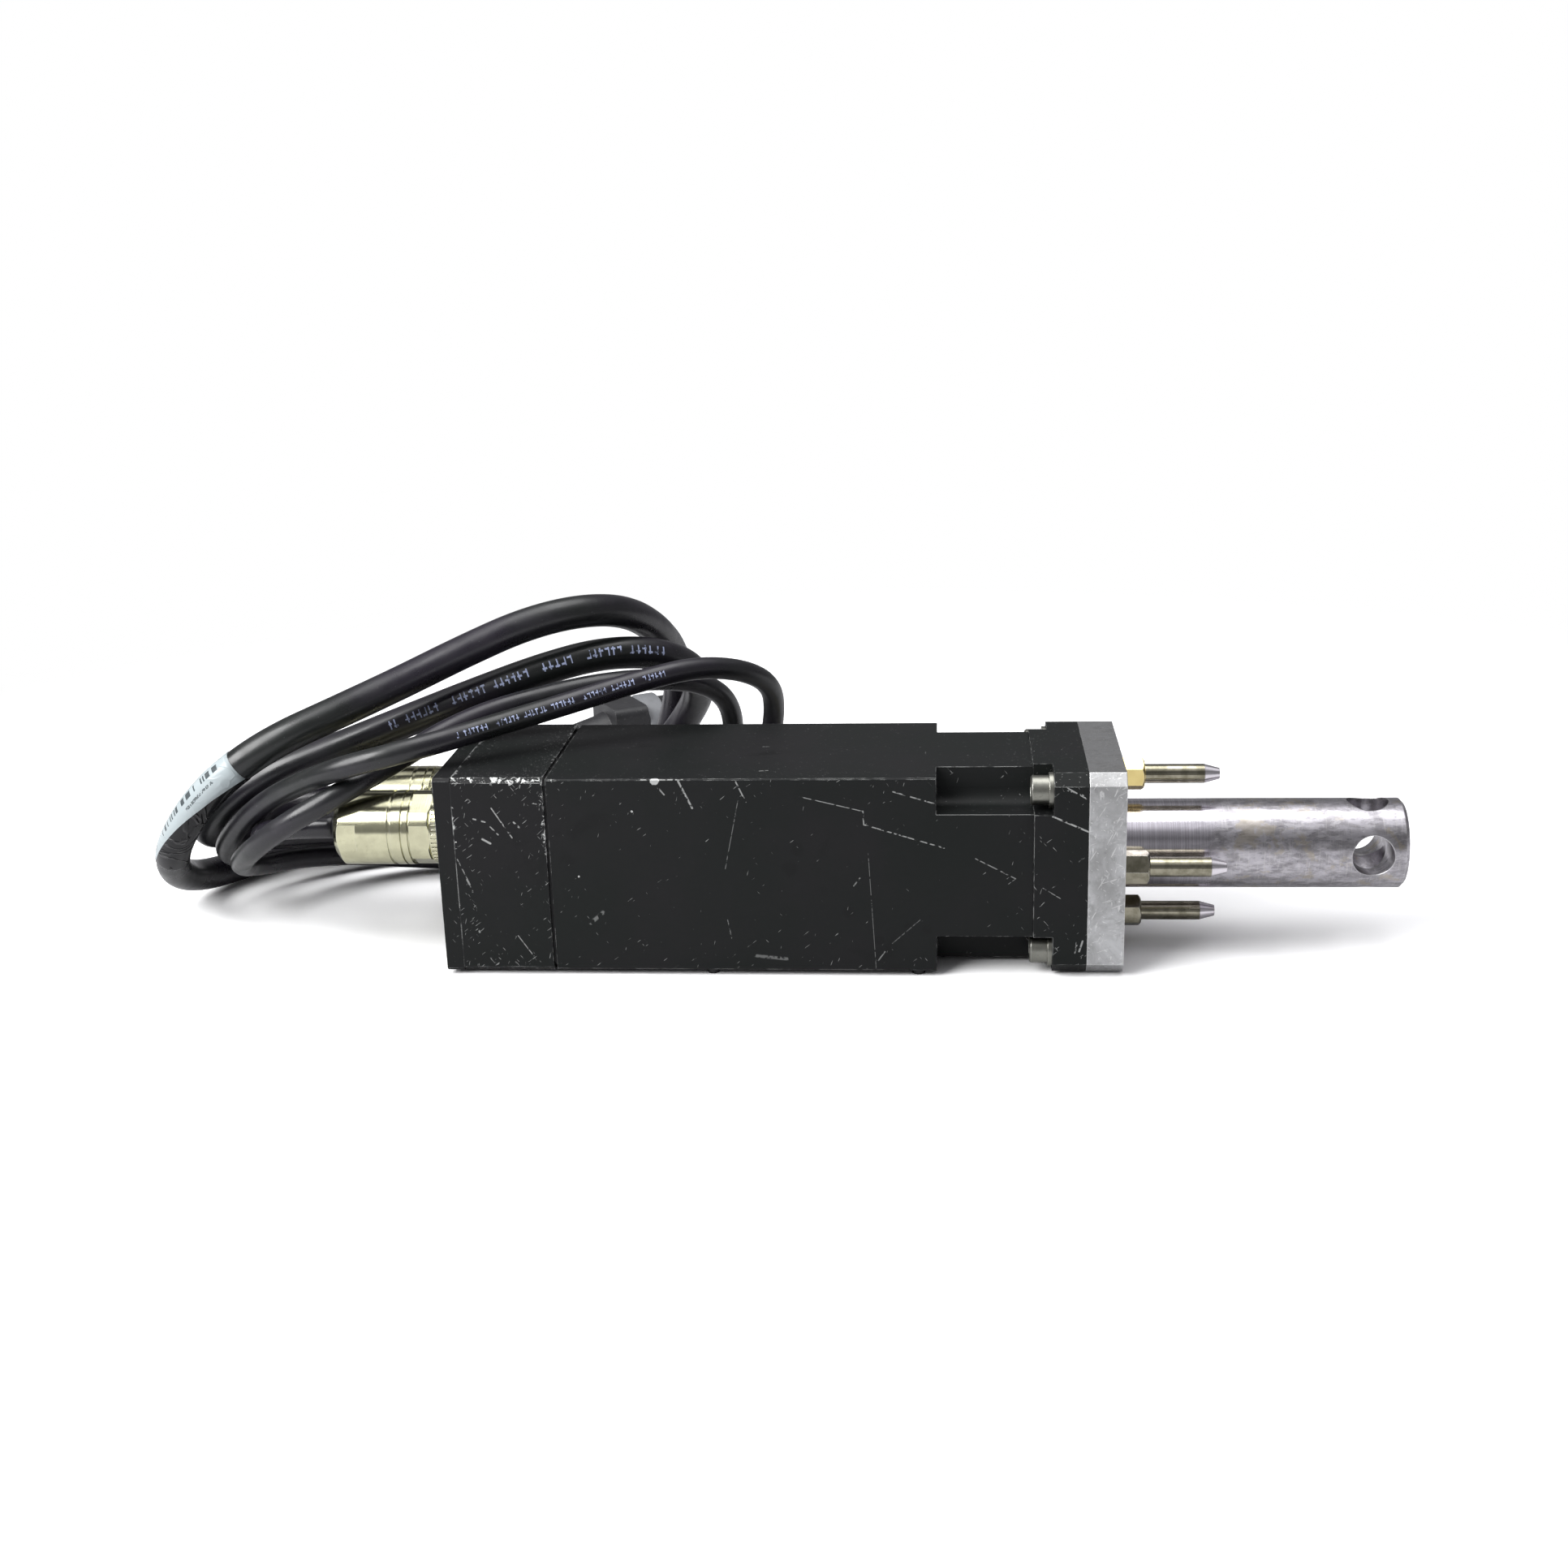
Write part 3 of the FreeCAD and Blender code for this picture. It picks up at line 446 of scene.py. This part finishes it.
def add_label(points, radius):
    """A sleeve of printed paper and clear film, wrapped on the power cable's outer bend."""
    first, last = sorted(nearest(points, place) for place in LABEL_ENDS)
    stretch = points[first:last + 1]
    item = tube("cable_label", stretch, radius + LABEL_THICKNESS, LABEL_SIDES, len(stretch) // 2)
    paint(item, label_material(distances(stretch)[-1]))
    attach(item, "housing")
    return item


# ---- materials of the metal and moulded parts -------------------------------------------------
def black_skin(g, cloud, smudges):
    """Colour of the unworn skin, and the rubbed and greasy patches on it, which are darker."""
    skin = g.colours(g.step(cloud, 0.35, 0.68), (0.0050, 0.0064, 0.0060), (0.0078, 0.0077, 0.0085))
    patch = g.step(g.noise(48.0, 5.0, 0.6, None, 0.6), 0.60, 0.72)
    outline = g.noise(300.0)
    for place, size in smudges:
        patch = g.most(patch, g.spot(place, size, outline, 1.0, 0.5))
    return g.colours(g.product(patch, 0.7), skin, (0.0040, 0.0043, 0.0045)), patch


def edge_distance(g, half, x_low, x_high):
    """How far a point on a square bar is from the nearest long edge or, less 0.8 mm, from an end."""
    side = g.math("SUBTRACT", half, g.math("ABSOLUTE", g.y))
    rise = g.math("SUBTRACT", half, g.math("ABSOLUTE", g.z))
    from_end = g.math("MINIMUM", g.math("SUBTRACT", g.x, x_low), g.math("SUBTRACT", x_high, g.x))
    return g.math("MINIMUM", g.most(side, rise), g.math("ADD", from_end, 0.8 * MM))


def flecks(g, from_edge, half, wear):
    """Skin lost in small flecks, more of them close to the upper edges."""
    high_up = g.step(g.z, -half, half, 0.35, 1.0)
    fall = g.product(g.step(from_edge, 5 * MM, 0.0, 0.0, wear), high_up)
    small = g.product(g.noise(520.0, 5.0, 0.72, None, 0.8), 0.62)
    large = g.product(g.noise(70.0, 3.0, 0.5), 0.38)
    return g.step(g.total(small, large, fall), 0.745, 0.775)


def fine_scratches(g, from_edge, wear):
    """Short random scratches in three directions, more of them near the edges."""
    lift = g.product(g.step(from_edge, 22 * MM, 2 * MM), 0.30 * wear)
    found = []
    for turn, level in ((38.0, 0.745), (-52.0, 0.755), (75.0, 0.76)):
        streak = g.noise(1.0, 2.0, 0.5, g.stretched((210.0, 1500.0, 1800.0), (0.0, turn, 0.0)))
        found.append(g.product(g.step(g.total(streak, lift), level, level + 0.03), 0.4))
    return g.most(*found)


def placed_marks(g, strokes, chips):
    """The larger scratches, which noise breaks into dashes, and the chips."""
    dash = g.step(g.noise(650.0, 2.0), 0.40, 0.52)
    found = []
    for start, end, width, strength in strokes:
        found.append(g.product(g.stroke(start, end, width), dash, strength))
    outline = g.noise(700.0, 3.0)
    for place, size in chips:
        found.append(g.spot(place, size, outline, 1.3, 0.8))
    return found


def worn_black(name, half, x_low, x_high, wear, strokes=(), chips=(), smudges=()):
    """Satin black anodised aluminium that has lost its skin along the edges and in scratches, with a
    painted highlight along every edge.
    """
    g = Graph(name, (0.012, 0.012, 0.0125), 0.5)
    cloud = g.noise(22.0, 4.0, 0.55)
    skin, patch = black_skin(g, cloud, smudges)
    from_edge = edge_distance(g, half, x_low, x_high)
    edge, rounded = g.edges(0.35 * MM)
    rubbed = g.product(edge, g.step(g.noise(130.0, 4.0, 0.7), 0.46, 0.60), 0.5 + wear)
    bare = g.most(flecks(g, from_edge, half, wear), fine_scratches(g, from_edge, wear),
                  *placed_marks(g, strokes, chips), rubbed)
    # painted highlight: the unworn skin is lightened towards grey along every edge, standing in for the
    # bright line that the chamfers reflect
    skin = g.colours(g.product(edge, 0.45), skin, (0.040, 0.041, 0.042))
    g.set("Base Color", g.colours(bare, skin, (0.50, 0.51, 0.50)))
    g.set("Metallic", g.product(bare, 0.75))
    matt = g.total(g.step(cloud, 0.3, 0.7, 0.46, 0.56), g.product(patch, -0.1))
    g.set("Roughness", g.total(matt, g.product(bare, -0.12)))
    g.set("Specular IOR Level", 0.21)
    grain = g.noise(2400.0, 2.0, 0.6)
    g.bump(g.total(g.product(grain, 0.25), g.product(bare, -0.8)), 0.09 * MM, 0.5, rounded)
    return g.material


def milled_aluminium():
    """Bare plate, mottled by handling, with fine scratches and edges lightened partly as rubbed wear and
    partly as a painted highlight.
    """
    tone = 0.56
    g = Graph("bare_aluminium", (tone, tone, tone), 0.36, 1.0)
    cloud = g.noise(70.0, 6.0, 0.68, None, 0.5)
    stain = g.step(g.noise(160.0, 4.0, 0.6, None, 1.2), 0.56, 0.70)
    base = g.colours(g.step(cloud, 0.32, 0.68), (tone * 0.66,) * 3, (tone * 1.06, tone * 1.07, tone * 1.08))
    base = g.colours(g.product(stain, 0.4), base, (tone * 0.42, tone * 0.42, tone * 0.41))
    found = []
    for turn in (20.0, -35.0, 62.0, 88.0):
        where = g.stretched((110.0, 1500.0, 1500.0), (turn * 0.4, turn, turn * 0.3))
        found.append(g.step(g.noise(1.0, 2.0, 0.5, where), 0.66, 0.70))
    marks = g.product(g.most(*found), 0.5)
    edge, rounded = g.edges(0.4 * MM)
    # bright holds the scratches and every edge lightened evenly, the edges partly rubbed wear and partly a
    # painted highlight
    bright = g.most(marks, g.product(edge, 0.8))
    g.set("Base Color", g.colours(bright, base, (0.86, 0.86, 0.85)))
    g.set("Roughness", g.total(g.step(cloud, 0.3, 0.7, 0.44, 0.33), g.product(bright, -0.08)))
    g.bump(g.total(g.product(g.noise(900.0, 3.0), 0.3), marks), 0.05 * MM, 0.5, rounded)
    return g.material


def rod_patina(g, cloud, flake):
    """Colour of the dull part: mottled, flaked and ringed, with a faint yellow stain on top."""
    cross = g.step(g.noise(1.0, 3.0, 0.6, g.stretched((1700.0, 150.0, 150.0))), 0.56, 0.66)
    patina = g.colours(g.step(cloud, 0.40, 0.60), (0.37, 0.355, 0.375), (0.58, 0.56, 0.60))
    patina = g.colours(g.product(g.step(flake, 0.54, 0.62), 0.55), patina, (0.70, 0.68, 0.71))
    patina = g.colours(g.product(g.step(flake, 0.44, 0.36), 0.5), patina, (0.24, 0.23, 0.25))
    patina = g.colours(g.product(cross, 0.35), patina, (0.72, 0.70, 0.70))
    lengthwise = g.product(g.step(g.x, 34 * MM, 42 * MM), g.step(g.x, 74 * MM, 56 * MM))
    stained = g.product(lengthwise, g.step(g.z, 0.0, 5 * MM))
    blotch = g.noise(1.0, 5.0, 0.65, g.stretched((150.0, 170.0, 170.0)), 0.5)
    yellow = g.step(g.total(g.product(stained, 0.09), blotch), 0.57, 0.66)
    return g.colours(g.product(yellow, 0.5), patina, (0.50, 0.44, 0.33))


def rod_material():
    """Ground rod: bright where it slides in and out, then dull, streaked and faintly stained."""
    g = Graph("rod_steel", (0.6, 0.6, 0.61), 0.22, 1.0)
    ring = g.noise(1.0, 2.0, 0.5, g.stretched((2600.0, 30.0, 30.0)))
    cloud = g.noise(1.0, 7.0, 0.68, g.stretched((120.0, 260.0, 260.0)), 0.5)
    flake = g.noise(1.0, 4.0, 0.6, g.stretched((230.0, 640.0, 640.0)))
    ragged = g.product(g.math("SUBTRACT", g.noise(170.0, 4.0, 0.6), 0.5), 12 * MM)
    dull = g.step(g.total(g.x, ragged), 27 * MM, 32 * MM)
    hazy = g.step(g.x, 8 * MM, 30 * MM)
    polished = g.colours(g.step(ring, 0.42, 0.6), (0.62, 0.59, 0.64), (0.74, 0.71, 0.77))
    polished = g.colours(g.product(hazy, g.step(cloud, 0.45, 0.6), 0.4), polished, (0.42, 0.41, 0.44))
    edge, rounded = g.edges(0.5 * MM)
    base = g.colours(dull, polished, rod_patina(g, cloud, flake))
    # every edge lightened towards pale grey: partly rubbed wear, partly a painted highlight
    g.set("Base Color", g.colours(g.product(edge, 0.7), base, (0.8, 0.8, 0.8)))
    g.set("Roughness", g.total(g.step(dull, 0.0, 1.0, 0.11, 0.25), g.product(flake, 0.08)))
    pits = g.step(g.noise(520.0, 3.0, 0.6), 0.58, 0.70)
    relief = g.total(g.product(ring, 0.25), g.product(pits, dull, -0.6))
    g.bump(relief, 0.06 * MM, 0.5, rounded)
    return g.material


def turned_metal(name, light, dark, roughness, tarnish=0.3):
    """Bright turned metal with fine rings along X, uneven tarnish, and edges lightened partly as rubbed
    wear and partly as a painted highlight.
    """
    g = Graph(name, light, roughness, 1.0)
    ring = g.noise(1.0, 2.0, 0.5, g.stretched((2200.0, 60.0, 60.0)))
    cloud = g.noise(180.0, 4.0, 0.6)
    spots = g.step(g.noise(620.0, 3.0, 0.65), 0.60, 0.72)
    base = g.colours(g.step(cloud, 0.34, 0.66), light, tuple(c * 0.84 for c in light))
    base = g.colours(g.product(spots, tarnish), base, dark)
    edge, rounded = g.edges(0.2 * MM)
    # every edge lightened towards pale metal: partly rubbed wear, partly a painted highlight
    g.set("Base Color", g.colours(g.product(edge, 0.5), base, (0.93, 0.92, 0.88)))
    g.set("Roughness", g.total(roughness, g.product(cloud, 0.10), g.product(spots, 0.08)))
    g.bump(g.product(ring, 0.4), 0.04 * MM, 0.4, rounded)
    return g.material


def stud_material():
    """Dull nickel studs with bright cones. The top one's hexagon has a golden film."""
    g = Graph("stud_steel", (0.5, 0.48, 0.4), 0.12, 1.0)
    upper = g.step(g.z, 12 * MM, 16 * MM)
    foot = g.step(g.x, 9.2 * MM, 8.5 * MM)
    cone = g.step(g.x, 28.6 * MM, 29.2 * MM)
    cloud = g.noise(260.0, 3.0, 0.6)
    steel = g.colours(g.step(cloud, 0.35, 0.65), (0.40, 0.375, 0.29), (0.25, 0.235, 0.17))
    golden = g.colours(cloud, (0.90, 0.74, 0.33), (0.76, 0.60, 0.25))
    edge, rounded = g.edges(0.25 * MM)
    base = g.colours(g.product(upper, foot), steel, golden)
    base = g.colours(cone, base, (0.90, 0.86, 0.91))
    # every edge lightened towards near white: partly rubbed wear, partly a painted highlight
    g.set("Base Color", g.colours(g.product(edge, 0.5), base, (0.95, 0.94, 0.90)))
    g.set("Roughness", g.step(cloud, 0.3, 0.7, 0.07, 0.18))
    ring = g.noise(1.0, 2.0, 0.5, g.stretched((2400.0, 60.0, 60.0)))
    g.bump(ring, 0.02 * MM, 0.4, rounded)
    return g.material


def fine_moulding(name, colour, roughness, grain=1800.0, speck=(0.12, 0.12, 0.12)):
    """Moulded plastic or rubber with a fine grain, scuffs and a little dust."""
    g = Graph(name, colour, roughness)
    cloud = g.noise(60.0, 4.0, 0.6)
    where = g.stretched((160.0, 700.0, 700.0), (10.0, 30.0, 20.0))
    scuff = g.step(g.noise(1.0, 3.0, 0.6, where), 0.62, 0.72)
    dust = g.step(g.noise(1500.0, 2.0, 0.5), 0.68, 0.76)
    darker = tuple(c * 0.8 for c in colour)
    lighter = tuple(c * 1.2 for c in colour)
    base = g.colours(g.step(cloud, 0.3, 0.7), darker, lighter)
    base = g.colours(g.product(g.most(scuff, dust), 0.3), base, speck)
    edge, rounded = g.edges(0.4 * MM)
    # every edge lightened towards the scuff colour: partly scuffed wear, partly a painted highlight
    g.set("Base Color", g.colours(g.product(edge, 0.25), base, speck))
    g.set("Roughness", g.step(cloud, 0.3, 0.7, roughness - 0.06, roughness + 0.08))
    g.bump(g.noise(grain, 2.0, 0.6), 0.07 * MM, 0.45, rounded)
    return g.material


def copper_material():
    """Wound enamelled wire: fine strands across the coils."""
    g = Graph("copper", (0.60, 0.24, 0.09), 0.3, 1.0)
    strand = g.noise(1.0, 1.0, 0.4, g.stretched((900.0, 2600.0, 2600.0)))
    g.set("Base Color", g.colours(g.step(strand, 0.4, 0.6), (0.40, 0.14, 0.05), (0.74, 0.34, 0.14)))
    g.bump(strand, 0.2 * MM, 0.8)
    return g.material


def lamination_material():
    """Stacked electrical sheet: thin dark lines across the stack."""
    g = Graph("lamination_steel", (0.2, 0.2, 0.21), 0.4, 1.0)
    sheet = g.math("FRACT", g.math("DIVIDE", g.x, 0.5 * MM))
    joint = g.step(sheet, 0.12, 0.0)
    base = g.colours(g.noise(200.0, 3.0), (0.16, 0.16, 0.18), (0.27, 0.27, 0.28))
    g.set("Base Color", g.colours(joint, base, (0.04, 0.035, 0.03)))
    g.bump(g.product(joint, -1.0), 0.1 * MM, 0.6)
    return g.material


def board_material():
    """Green circuit board with paler copper tracks and dark component patches."""
    g = Graph("board_green", (0.02, 0.12, 0.05), 0.35)
    cell = g.add("TexVoronoi", g.place, distance="MANHATTAN")
    g.feed(cell.inputs["Scale"], 320.0)
    track = g.step(cell.outputs["Distance"], 0.34, 0.42)
    base = g.colours(g.product(track, 0.5), (0.015, 0.10, 0.045), (0.05, 0.26, 0.10))
    part = g.math("GREATER_THAN", g.add("SeparateXYZ", cell.outputs["Color"]).outputs[0], 0.82)
    g.set("Base Color", g.colours(part, base, (0.03, 0.03, 0.032)))
    g.bump(g.most(track, part), 0.2 * MM, 0.5)
    return g.material


def glass_material():
    """Clear encoder disc with a ring of dark lines."""
    g = Graph("disc_glass", (0.75, 0.82, 0.85), 0.08)
    radius = g.math("SQRT", g.total(g.product(g.y, g.y), g.product(g.z, g.z)))
    angle = g.math("ARCTAN2", g.y, g.z)
    lines = g.math("GREATER_THAN", g.math("SINE", g.math("MULTIPLY", angle, 180.0)), 0.0)
    ring = g.soft_span(radius, 14 * MM, 16.6 * MM, 0.1 * MM)
    g.set("Base Color", g.colours(g.product(lines, ring), (0.55, 0.62, 0.64), (0.03, 0.03, 0.03)))
    g.set("Transmission Weight", 0.4)
    g.bump(g.noise(300.0), 0.02 * MM, 0.3)
    return g.material


# marks on the near side and the top, in millimetres: strokes are start, end, width and strength;
# chips and smudges are place and size
MAIN_STROKES = [
    ((-147.4, -34.1, 33.4), (-143.1, -34.1, 24.0), 0.45, 0.65),
    ((-128.2, -34.1, 33.1), (-125.1, -34.1, 26.1), 0.32, 0.58),
    ((-127.7, -34.1, 26.6), (-132.8, -34.1, 2.6), 0.18, 0.25),
    ((-132.7, -34.1, -15.8), (-131.5, -34.1, -22.6), 0.2, 0.29),
    ((-107.2, -34.1, 27.9), (-86.5, -34.1, 22.8), 0.22, 0.5),
    ((-86.3, -34.1, 22.8), (-86.1, -34.1, 18.1), 0.3, 0.54),
    ((-86.1, -34.1, 18.1), (-59.6, -34.1, 9.9), 0.28, 0.58),
    ((-84.8, -34.1, 8.1), (-82.7, -34.1, -33.7), 0.16, 0.23),
    ((-89.8, -34.1, -3.5), (-87.7, -34.1, -0.7), 0.3, 0.36),
    ((-77.1, -34.1, -24.1), (-67.7, -34.1, -15.6), 0.22, 0.2),
    ((-81.9, -34.1, -30.3), (-79.5, -34.1, -26.9), 0.3, 0.36),
    ((-154.2, -34.1, 31.1), (-152.3, -34.1, 28.7), 0.35, 0.5),
    ((-76.3, -34.1, 29.5), (-62.9, -34.1, 25.4), 0.3, 0.58),
    ((-49.5, -34.1, 6.3), (-36.0, -34.1, -0.9), 0.25, 0.43),
    ((-179.6, -34.1, -17.0), (-175.2, -34.1, -13.2), 0.9, 0.25),
    ((-123.6, -34.1, -28.8), (-113.0, -34.1, -29.9), 0.8, 0.22),
    ((-160.0, -34.0, 33.9), (-146.0, -34.0, 33.9), 0.35, 0.5),
    ((-121.0, -25.1, 34.1), (-118.5, -24.6, 34.1), 0.5, 0.43),
    ((-122.5, 3.9, 34.1), (-119.0, 4.3, 34.1), 0.4, 0.32),
]
MAIN_CHIPS = [((-155.2, -34.1, 33.4), 1.5), ((-163.5, -34.1, 22.9), 0.45), ((-182.8, -34.1, -0.2), 0.35)]
MAIN_SMUDGES = [((-108.3, -34.1, 9.2), 3.0), ((-111.0, -34.1, 3.1), 3.5), ((-91.6, -34.1, -12.9), 2.6),
                ((-81.3, -34.1, -23.0), 1.9), ((-65.6, -34.1, -19.1), 2.0), ((-71.8, -34.1, -17.9), 1.6)]
REAR_STROKES = [
    ((-211.0, -34.6, 24.3), (-204.6, -34.6, 13.8), 0.3, 0.6),
    ((-217.4, -34.6, 20.5), (-213.5, -34.6, 19.4), 0.35, 0.68),
    ((-211.8, -34.6, 17.7), (-209.3, -34.6, 14.9), 0.3, 0.6),
    ((-203.7, -34.6, 19.3), (-201.9, -34.6, 17.4), 0.4, 0.68),
    ((-196.9, -34.6, 26.1), (-194.3, -34.6, 25.7), 0.4, 0.68),
    ((-214.8, -34.6, 13.3), (-212.2, -34.6, 11.8), 0.5, 0.68),
    ((-221.3, -34.6, -1.2), (-219.5, -34.6, -5.7), 0.3, 0.52),
    ((-205.0, -34.6, -21.6), (-200.1, -34.6, -29.0), 0.25, 0.45),
    ((-224.0, -34.6, 6.1), (-220.3, -34.6, -2.9), 0.25, 0.45),
    ((-218.4, -34.6, -19.9), (-218.0, -34.6, -21.6), 0.45, 0.45),
]
CAP_STROKES = [
    ((-24.1, -35.0, 21.1), (-12.4, -35.0, 15.8), 0.4, 0.76),
    ((-20.2, -35.0, 31.3), (-12.9, -35.0, 27.0), 0.3, 0.72),
    ((-19.4, -35.0, 30.0), (-13.9, -35.0, 28.2), 0.25, 0.64),
    ((-14.8, -35.0, -26.4), (-13.7, -35.0, -22.7), 0.4, 0.64),
    ((-16.2, -35.0, -27.0), (-15.6, -35.0, -24.2), 0.3, 0.48),
    ((-27.0, -35.0, -3.9), (-21.3, -35.0, -7.5), 0.22, 0.4),
]


def black_parts():
    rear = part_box("rear_housing")
    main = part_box("main_housing")
    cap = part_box("front_cap")
    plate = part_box("rear_plate")
    return {
        "rear_housing": worn_black("black_rear", rear[1].z, rear[0].x, rear[1].x, 0.24, REAR_STROKES),
        "main_housing": worn_black("black_main", main[1].z, main[0].x, main[1].x, 0.09,
                                   MAIN_STROKES, MAIN_CHIPS, MAIN_SMUDGES),
        "front_cap": worn_black("black_cap", cap[1].z, cap[0].x, cap[1].x, 0.10, CAP_STROKES),
        "rear_plate": worn_black("black_plate", plate[1].z, plate[0].x, plate[1].x, 0.12),
    }


def slot_materials():
    """One material for each of the record's slots, apart from black_aluminium."""
    return {
        "bare_aluminium": milled_aluminium(),
        "rod_steel": rod_material(),
        "zinc_steel": turned_metal("zinc_steel", (0.30, 0.30, 0.265), (0.12, 0.12, 0.10), 0.30, 0.5),
        "stud_steel": stud_material(),
        "connector_metal": turned_metal("connector_metal", (0.66, 0.645, 0.45), (0.28, 0.27, 0.17), 0.13),
        "black_oxide": fine_moulding("black_oxide", (0.012, 0.012, 0.012), 0.4),
        "black_rubber": fine_moulding("black_rubber", (0.010, 0.010, 0.011), 0.62, 900.0),
        "cable_jacket": fine_moulding("cable_end", (0.011, 0.011, 0.012), 0.35),
        "plug_plastic": fine_moulding("plug_plastic", (0.018, 0.018, 0.020), 0.45),
        "plug_grey": fine_moulding("plug_grey", (0.16, 0.165, 0.175), 0.42),
        "shaft_steel": turned_metal("shaft_steel", (0.52, 0.52, 0.54), (0.26, 0.26, 0.27), 0.22),
        "bearing_steel": turned_metal("bearing_steel", (0.68, 0.68, 0.69), (0.4, 0.4, 0.4), 0.10, 0.1),
        "bronze": turned_metal("bronze", (0.62, 0.40, 0.17), (0.30, 0.18, 0.08), 0.28),
        "guide_plastic": fine_moulding("guide_plastic", (0.66, 0.63, 0.54), 0.4, speck=(0.4, 0.38, 0.33)),
        "lamination_steel": lamination_material(),
        "copper": copper_material(),
        "magnet": turned_metal("magnet", (0.58, 0.58, 0.60), (0.3, 0.3, 0.31), 0.16),
        "board_green": board_material(),
        "chip_black": fine_moulding("chip_black", (0.02, 0.02, 0.021), 0.4),
        "disc_glass": glass_material(),
        "contact_gold": turned_metal("contact_gold", (0.83, 0.62, 0.24), (0.5, 0.34, 0.12), 0.18),
    }


def paint_parts():
    black = black_parts()
    by_slot = slot_materials()
    for part in frame["record"]["subparts"]:
        node = part["node"]
        material = black[node] if node in black else by_slot[part["material_slot"]]
        paint(frame["nodes"][node], material)


# ---- stage ----------------------------------------------------------------------------------
def floor_material():
    """White to the eye, fading into the background; a plain grey bench to whatever it reflects in."""
    g = Graph("floor_white", (0.52, 0.52, 0.53), 0.9)
    lit = g.add("BsdfDiffuse", (1.14, 1.14, 1.145, 1.0))
    plain = g.add("Emission", (1.0, 1.0, 1.0, 1.0), 1.0)
    away = g.add("VectorMath", g.place, MIDDLE, operation="DISTANCE").outputs["Value"]
    seen = g.add("MixShader", g.step(away, FADE_START, FADE_END), lit.outputs[0], plain.outputs[0])
    ray = g.add("LightPath").outputs["Is Camera Ray"]
    both = g.add("MixShader", ray, g.shader.outputs[0], seen.outputs[0])
    g.tree.links.new(both.outputs[0], g.tree.nodes["Material Output"].inputs["Surface"])
    return g.material


def add_floor():
    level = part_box("base_pegs")[0].z
    signs = [(-1, -1), (1, -1), (1, 1), (-1, 1)]
    corners = [(x * FLOOR_REACH, y * FLOOR_REACH, level) for x, y in signs]
    floor = mesh_object("floor", corners, [(0, 1, 2, 3)], smooth=False)
    paint(floor, floor_material())


def add_world():
    """Plain white to the eye; to surfaces, a dim room under a broad bright ceiling."""
    world = bpy.data.worlds.new("studio")
    bpy.context.scene.world = world
    world.use_nodes = True
    tree = world.node_tree
    room = tree.nodes["Background"]
    coords = tree.nodes.new("ShaderNodeTexCoord")
    axes = tree.nodes.new("ShaderNodeSeparateXYZ")
    tree.links.new(coords.outputs["Generated"], axes.inputs[0])
    ramp = tree.nodes.new("ShaderNodeValToRGB")
    while len(ramp.color_ramp.elements) < len(ROOM):
        ramp.color_ramp.elements.new(1.0)
    for element, (position, level) in zip(ramp.color_ramp.elements, ROOM):
        element.position = position
        element.color = (level, level, level * 1.03, 1.0)
    tree.links.new(axes.outputs[2], ramp.inputs[0])
    tree.links.new(ramp.outputs[0], room.inputs["Color"])
    seen = tree.nodes.new("ShaderNodeBackground")
    seen.inputs["Color"].default_value = (1.0, 1.0, 1.0, 1.0)
    ray = tree.nodes.new("ShaderNodeLightPath")
    both = tree.nodes.new("ShaderNodeMixShader")
    tree.links.new(ray.outputs["Is Camera Ray"], both.inputs[0])
    tree.links.new(room.outputs[0], both.inputs[1])
    tree.links.new(seen.outputs[0], both.inputs[2])
    tree.links.new(both.outputs[0], tree.nodes["World Output"].inputs["Surface"])


def add_light(name, place, size, power):
    data = bpy.data.lights.new(name, "AREA")
    data.shape = "DISK"
    data.size = size
    data.energy = power
    light = new_object(name, data)
    light.location = place
    aim = Vector(MIDDLE) - Vector(place)
    light.rotation_euler = aim.to_track_quat("-Z", "Y").to_euler()


def add_lights():
    add_light("key", (-1.0, -0.62, 0.85), 1.1, 30.0)
    add_light("overhead", (-0.1, 0.1, 1.3), 1.0, 7.0)


# ---- everything, in order ---------------------------------------------------------------------
def main():
    add_camera()
    power, power_line, power_along = add_cable("power_cable", POWER_ROUTE, POWER_RADIUS, POWER_PRINT)
    feedback, feedback_line, feedback_along = add_cable(
        "feedback_cable", FEEDBACK_ROUTE, FEEDBACK_RADIUS, FEEDBACK_PRINT)
    label = add_label(power_line, POWER_RADIUS)
    paint_parts()
    add_floor()
    add_world()
    add_lights()
    bpy.context.scene.view_settings.view_transform = "Standard"


main()
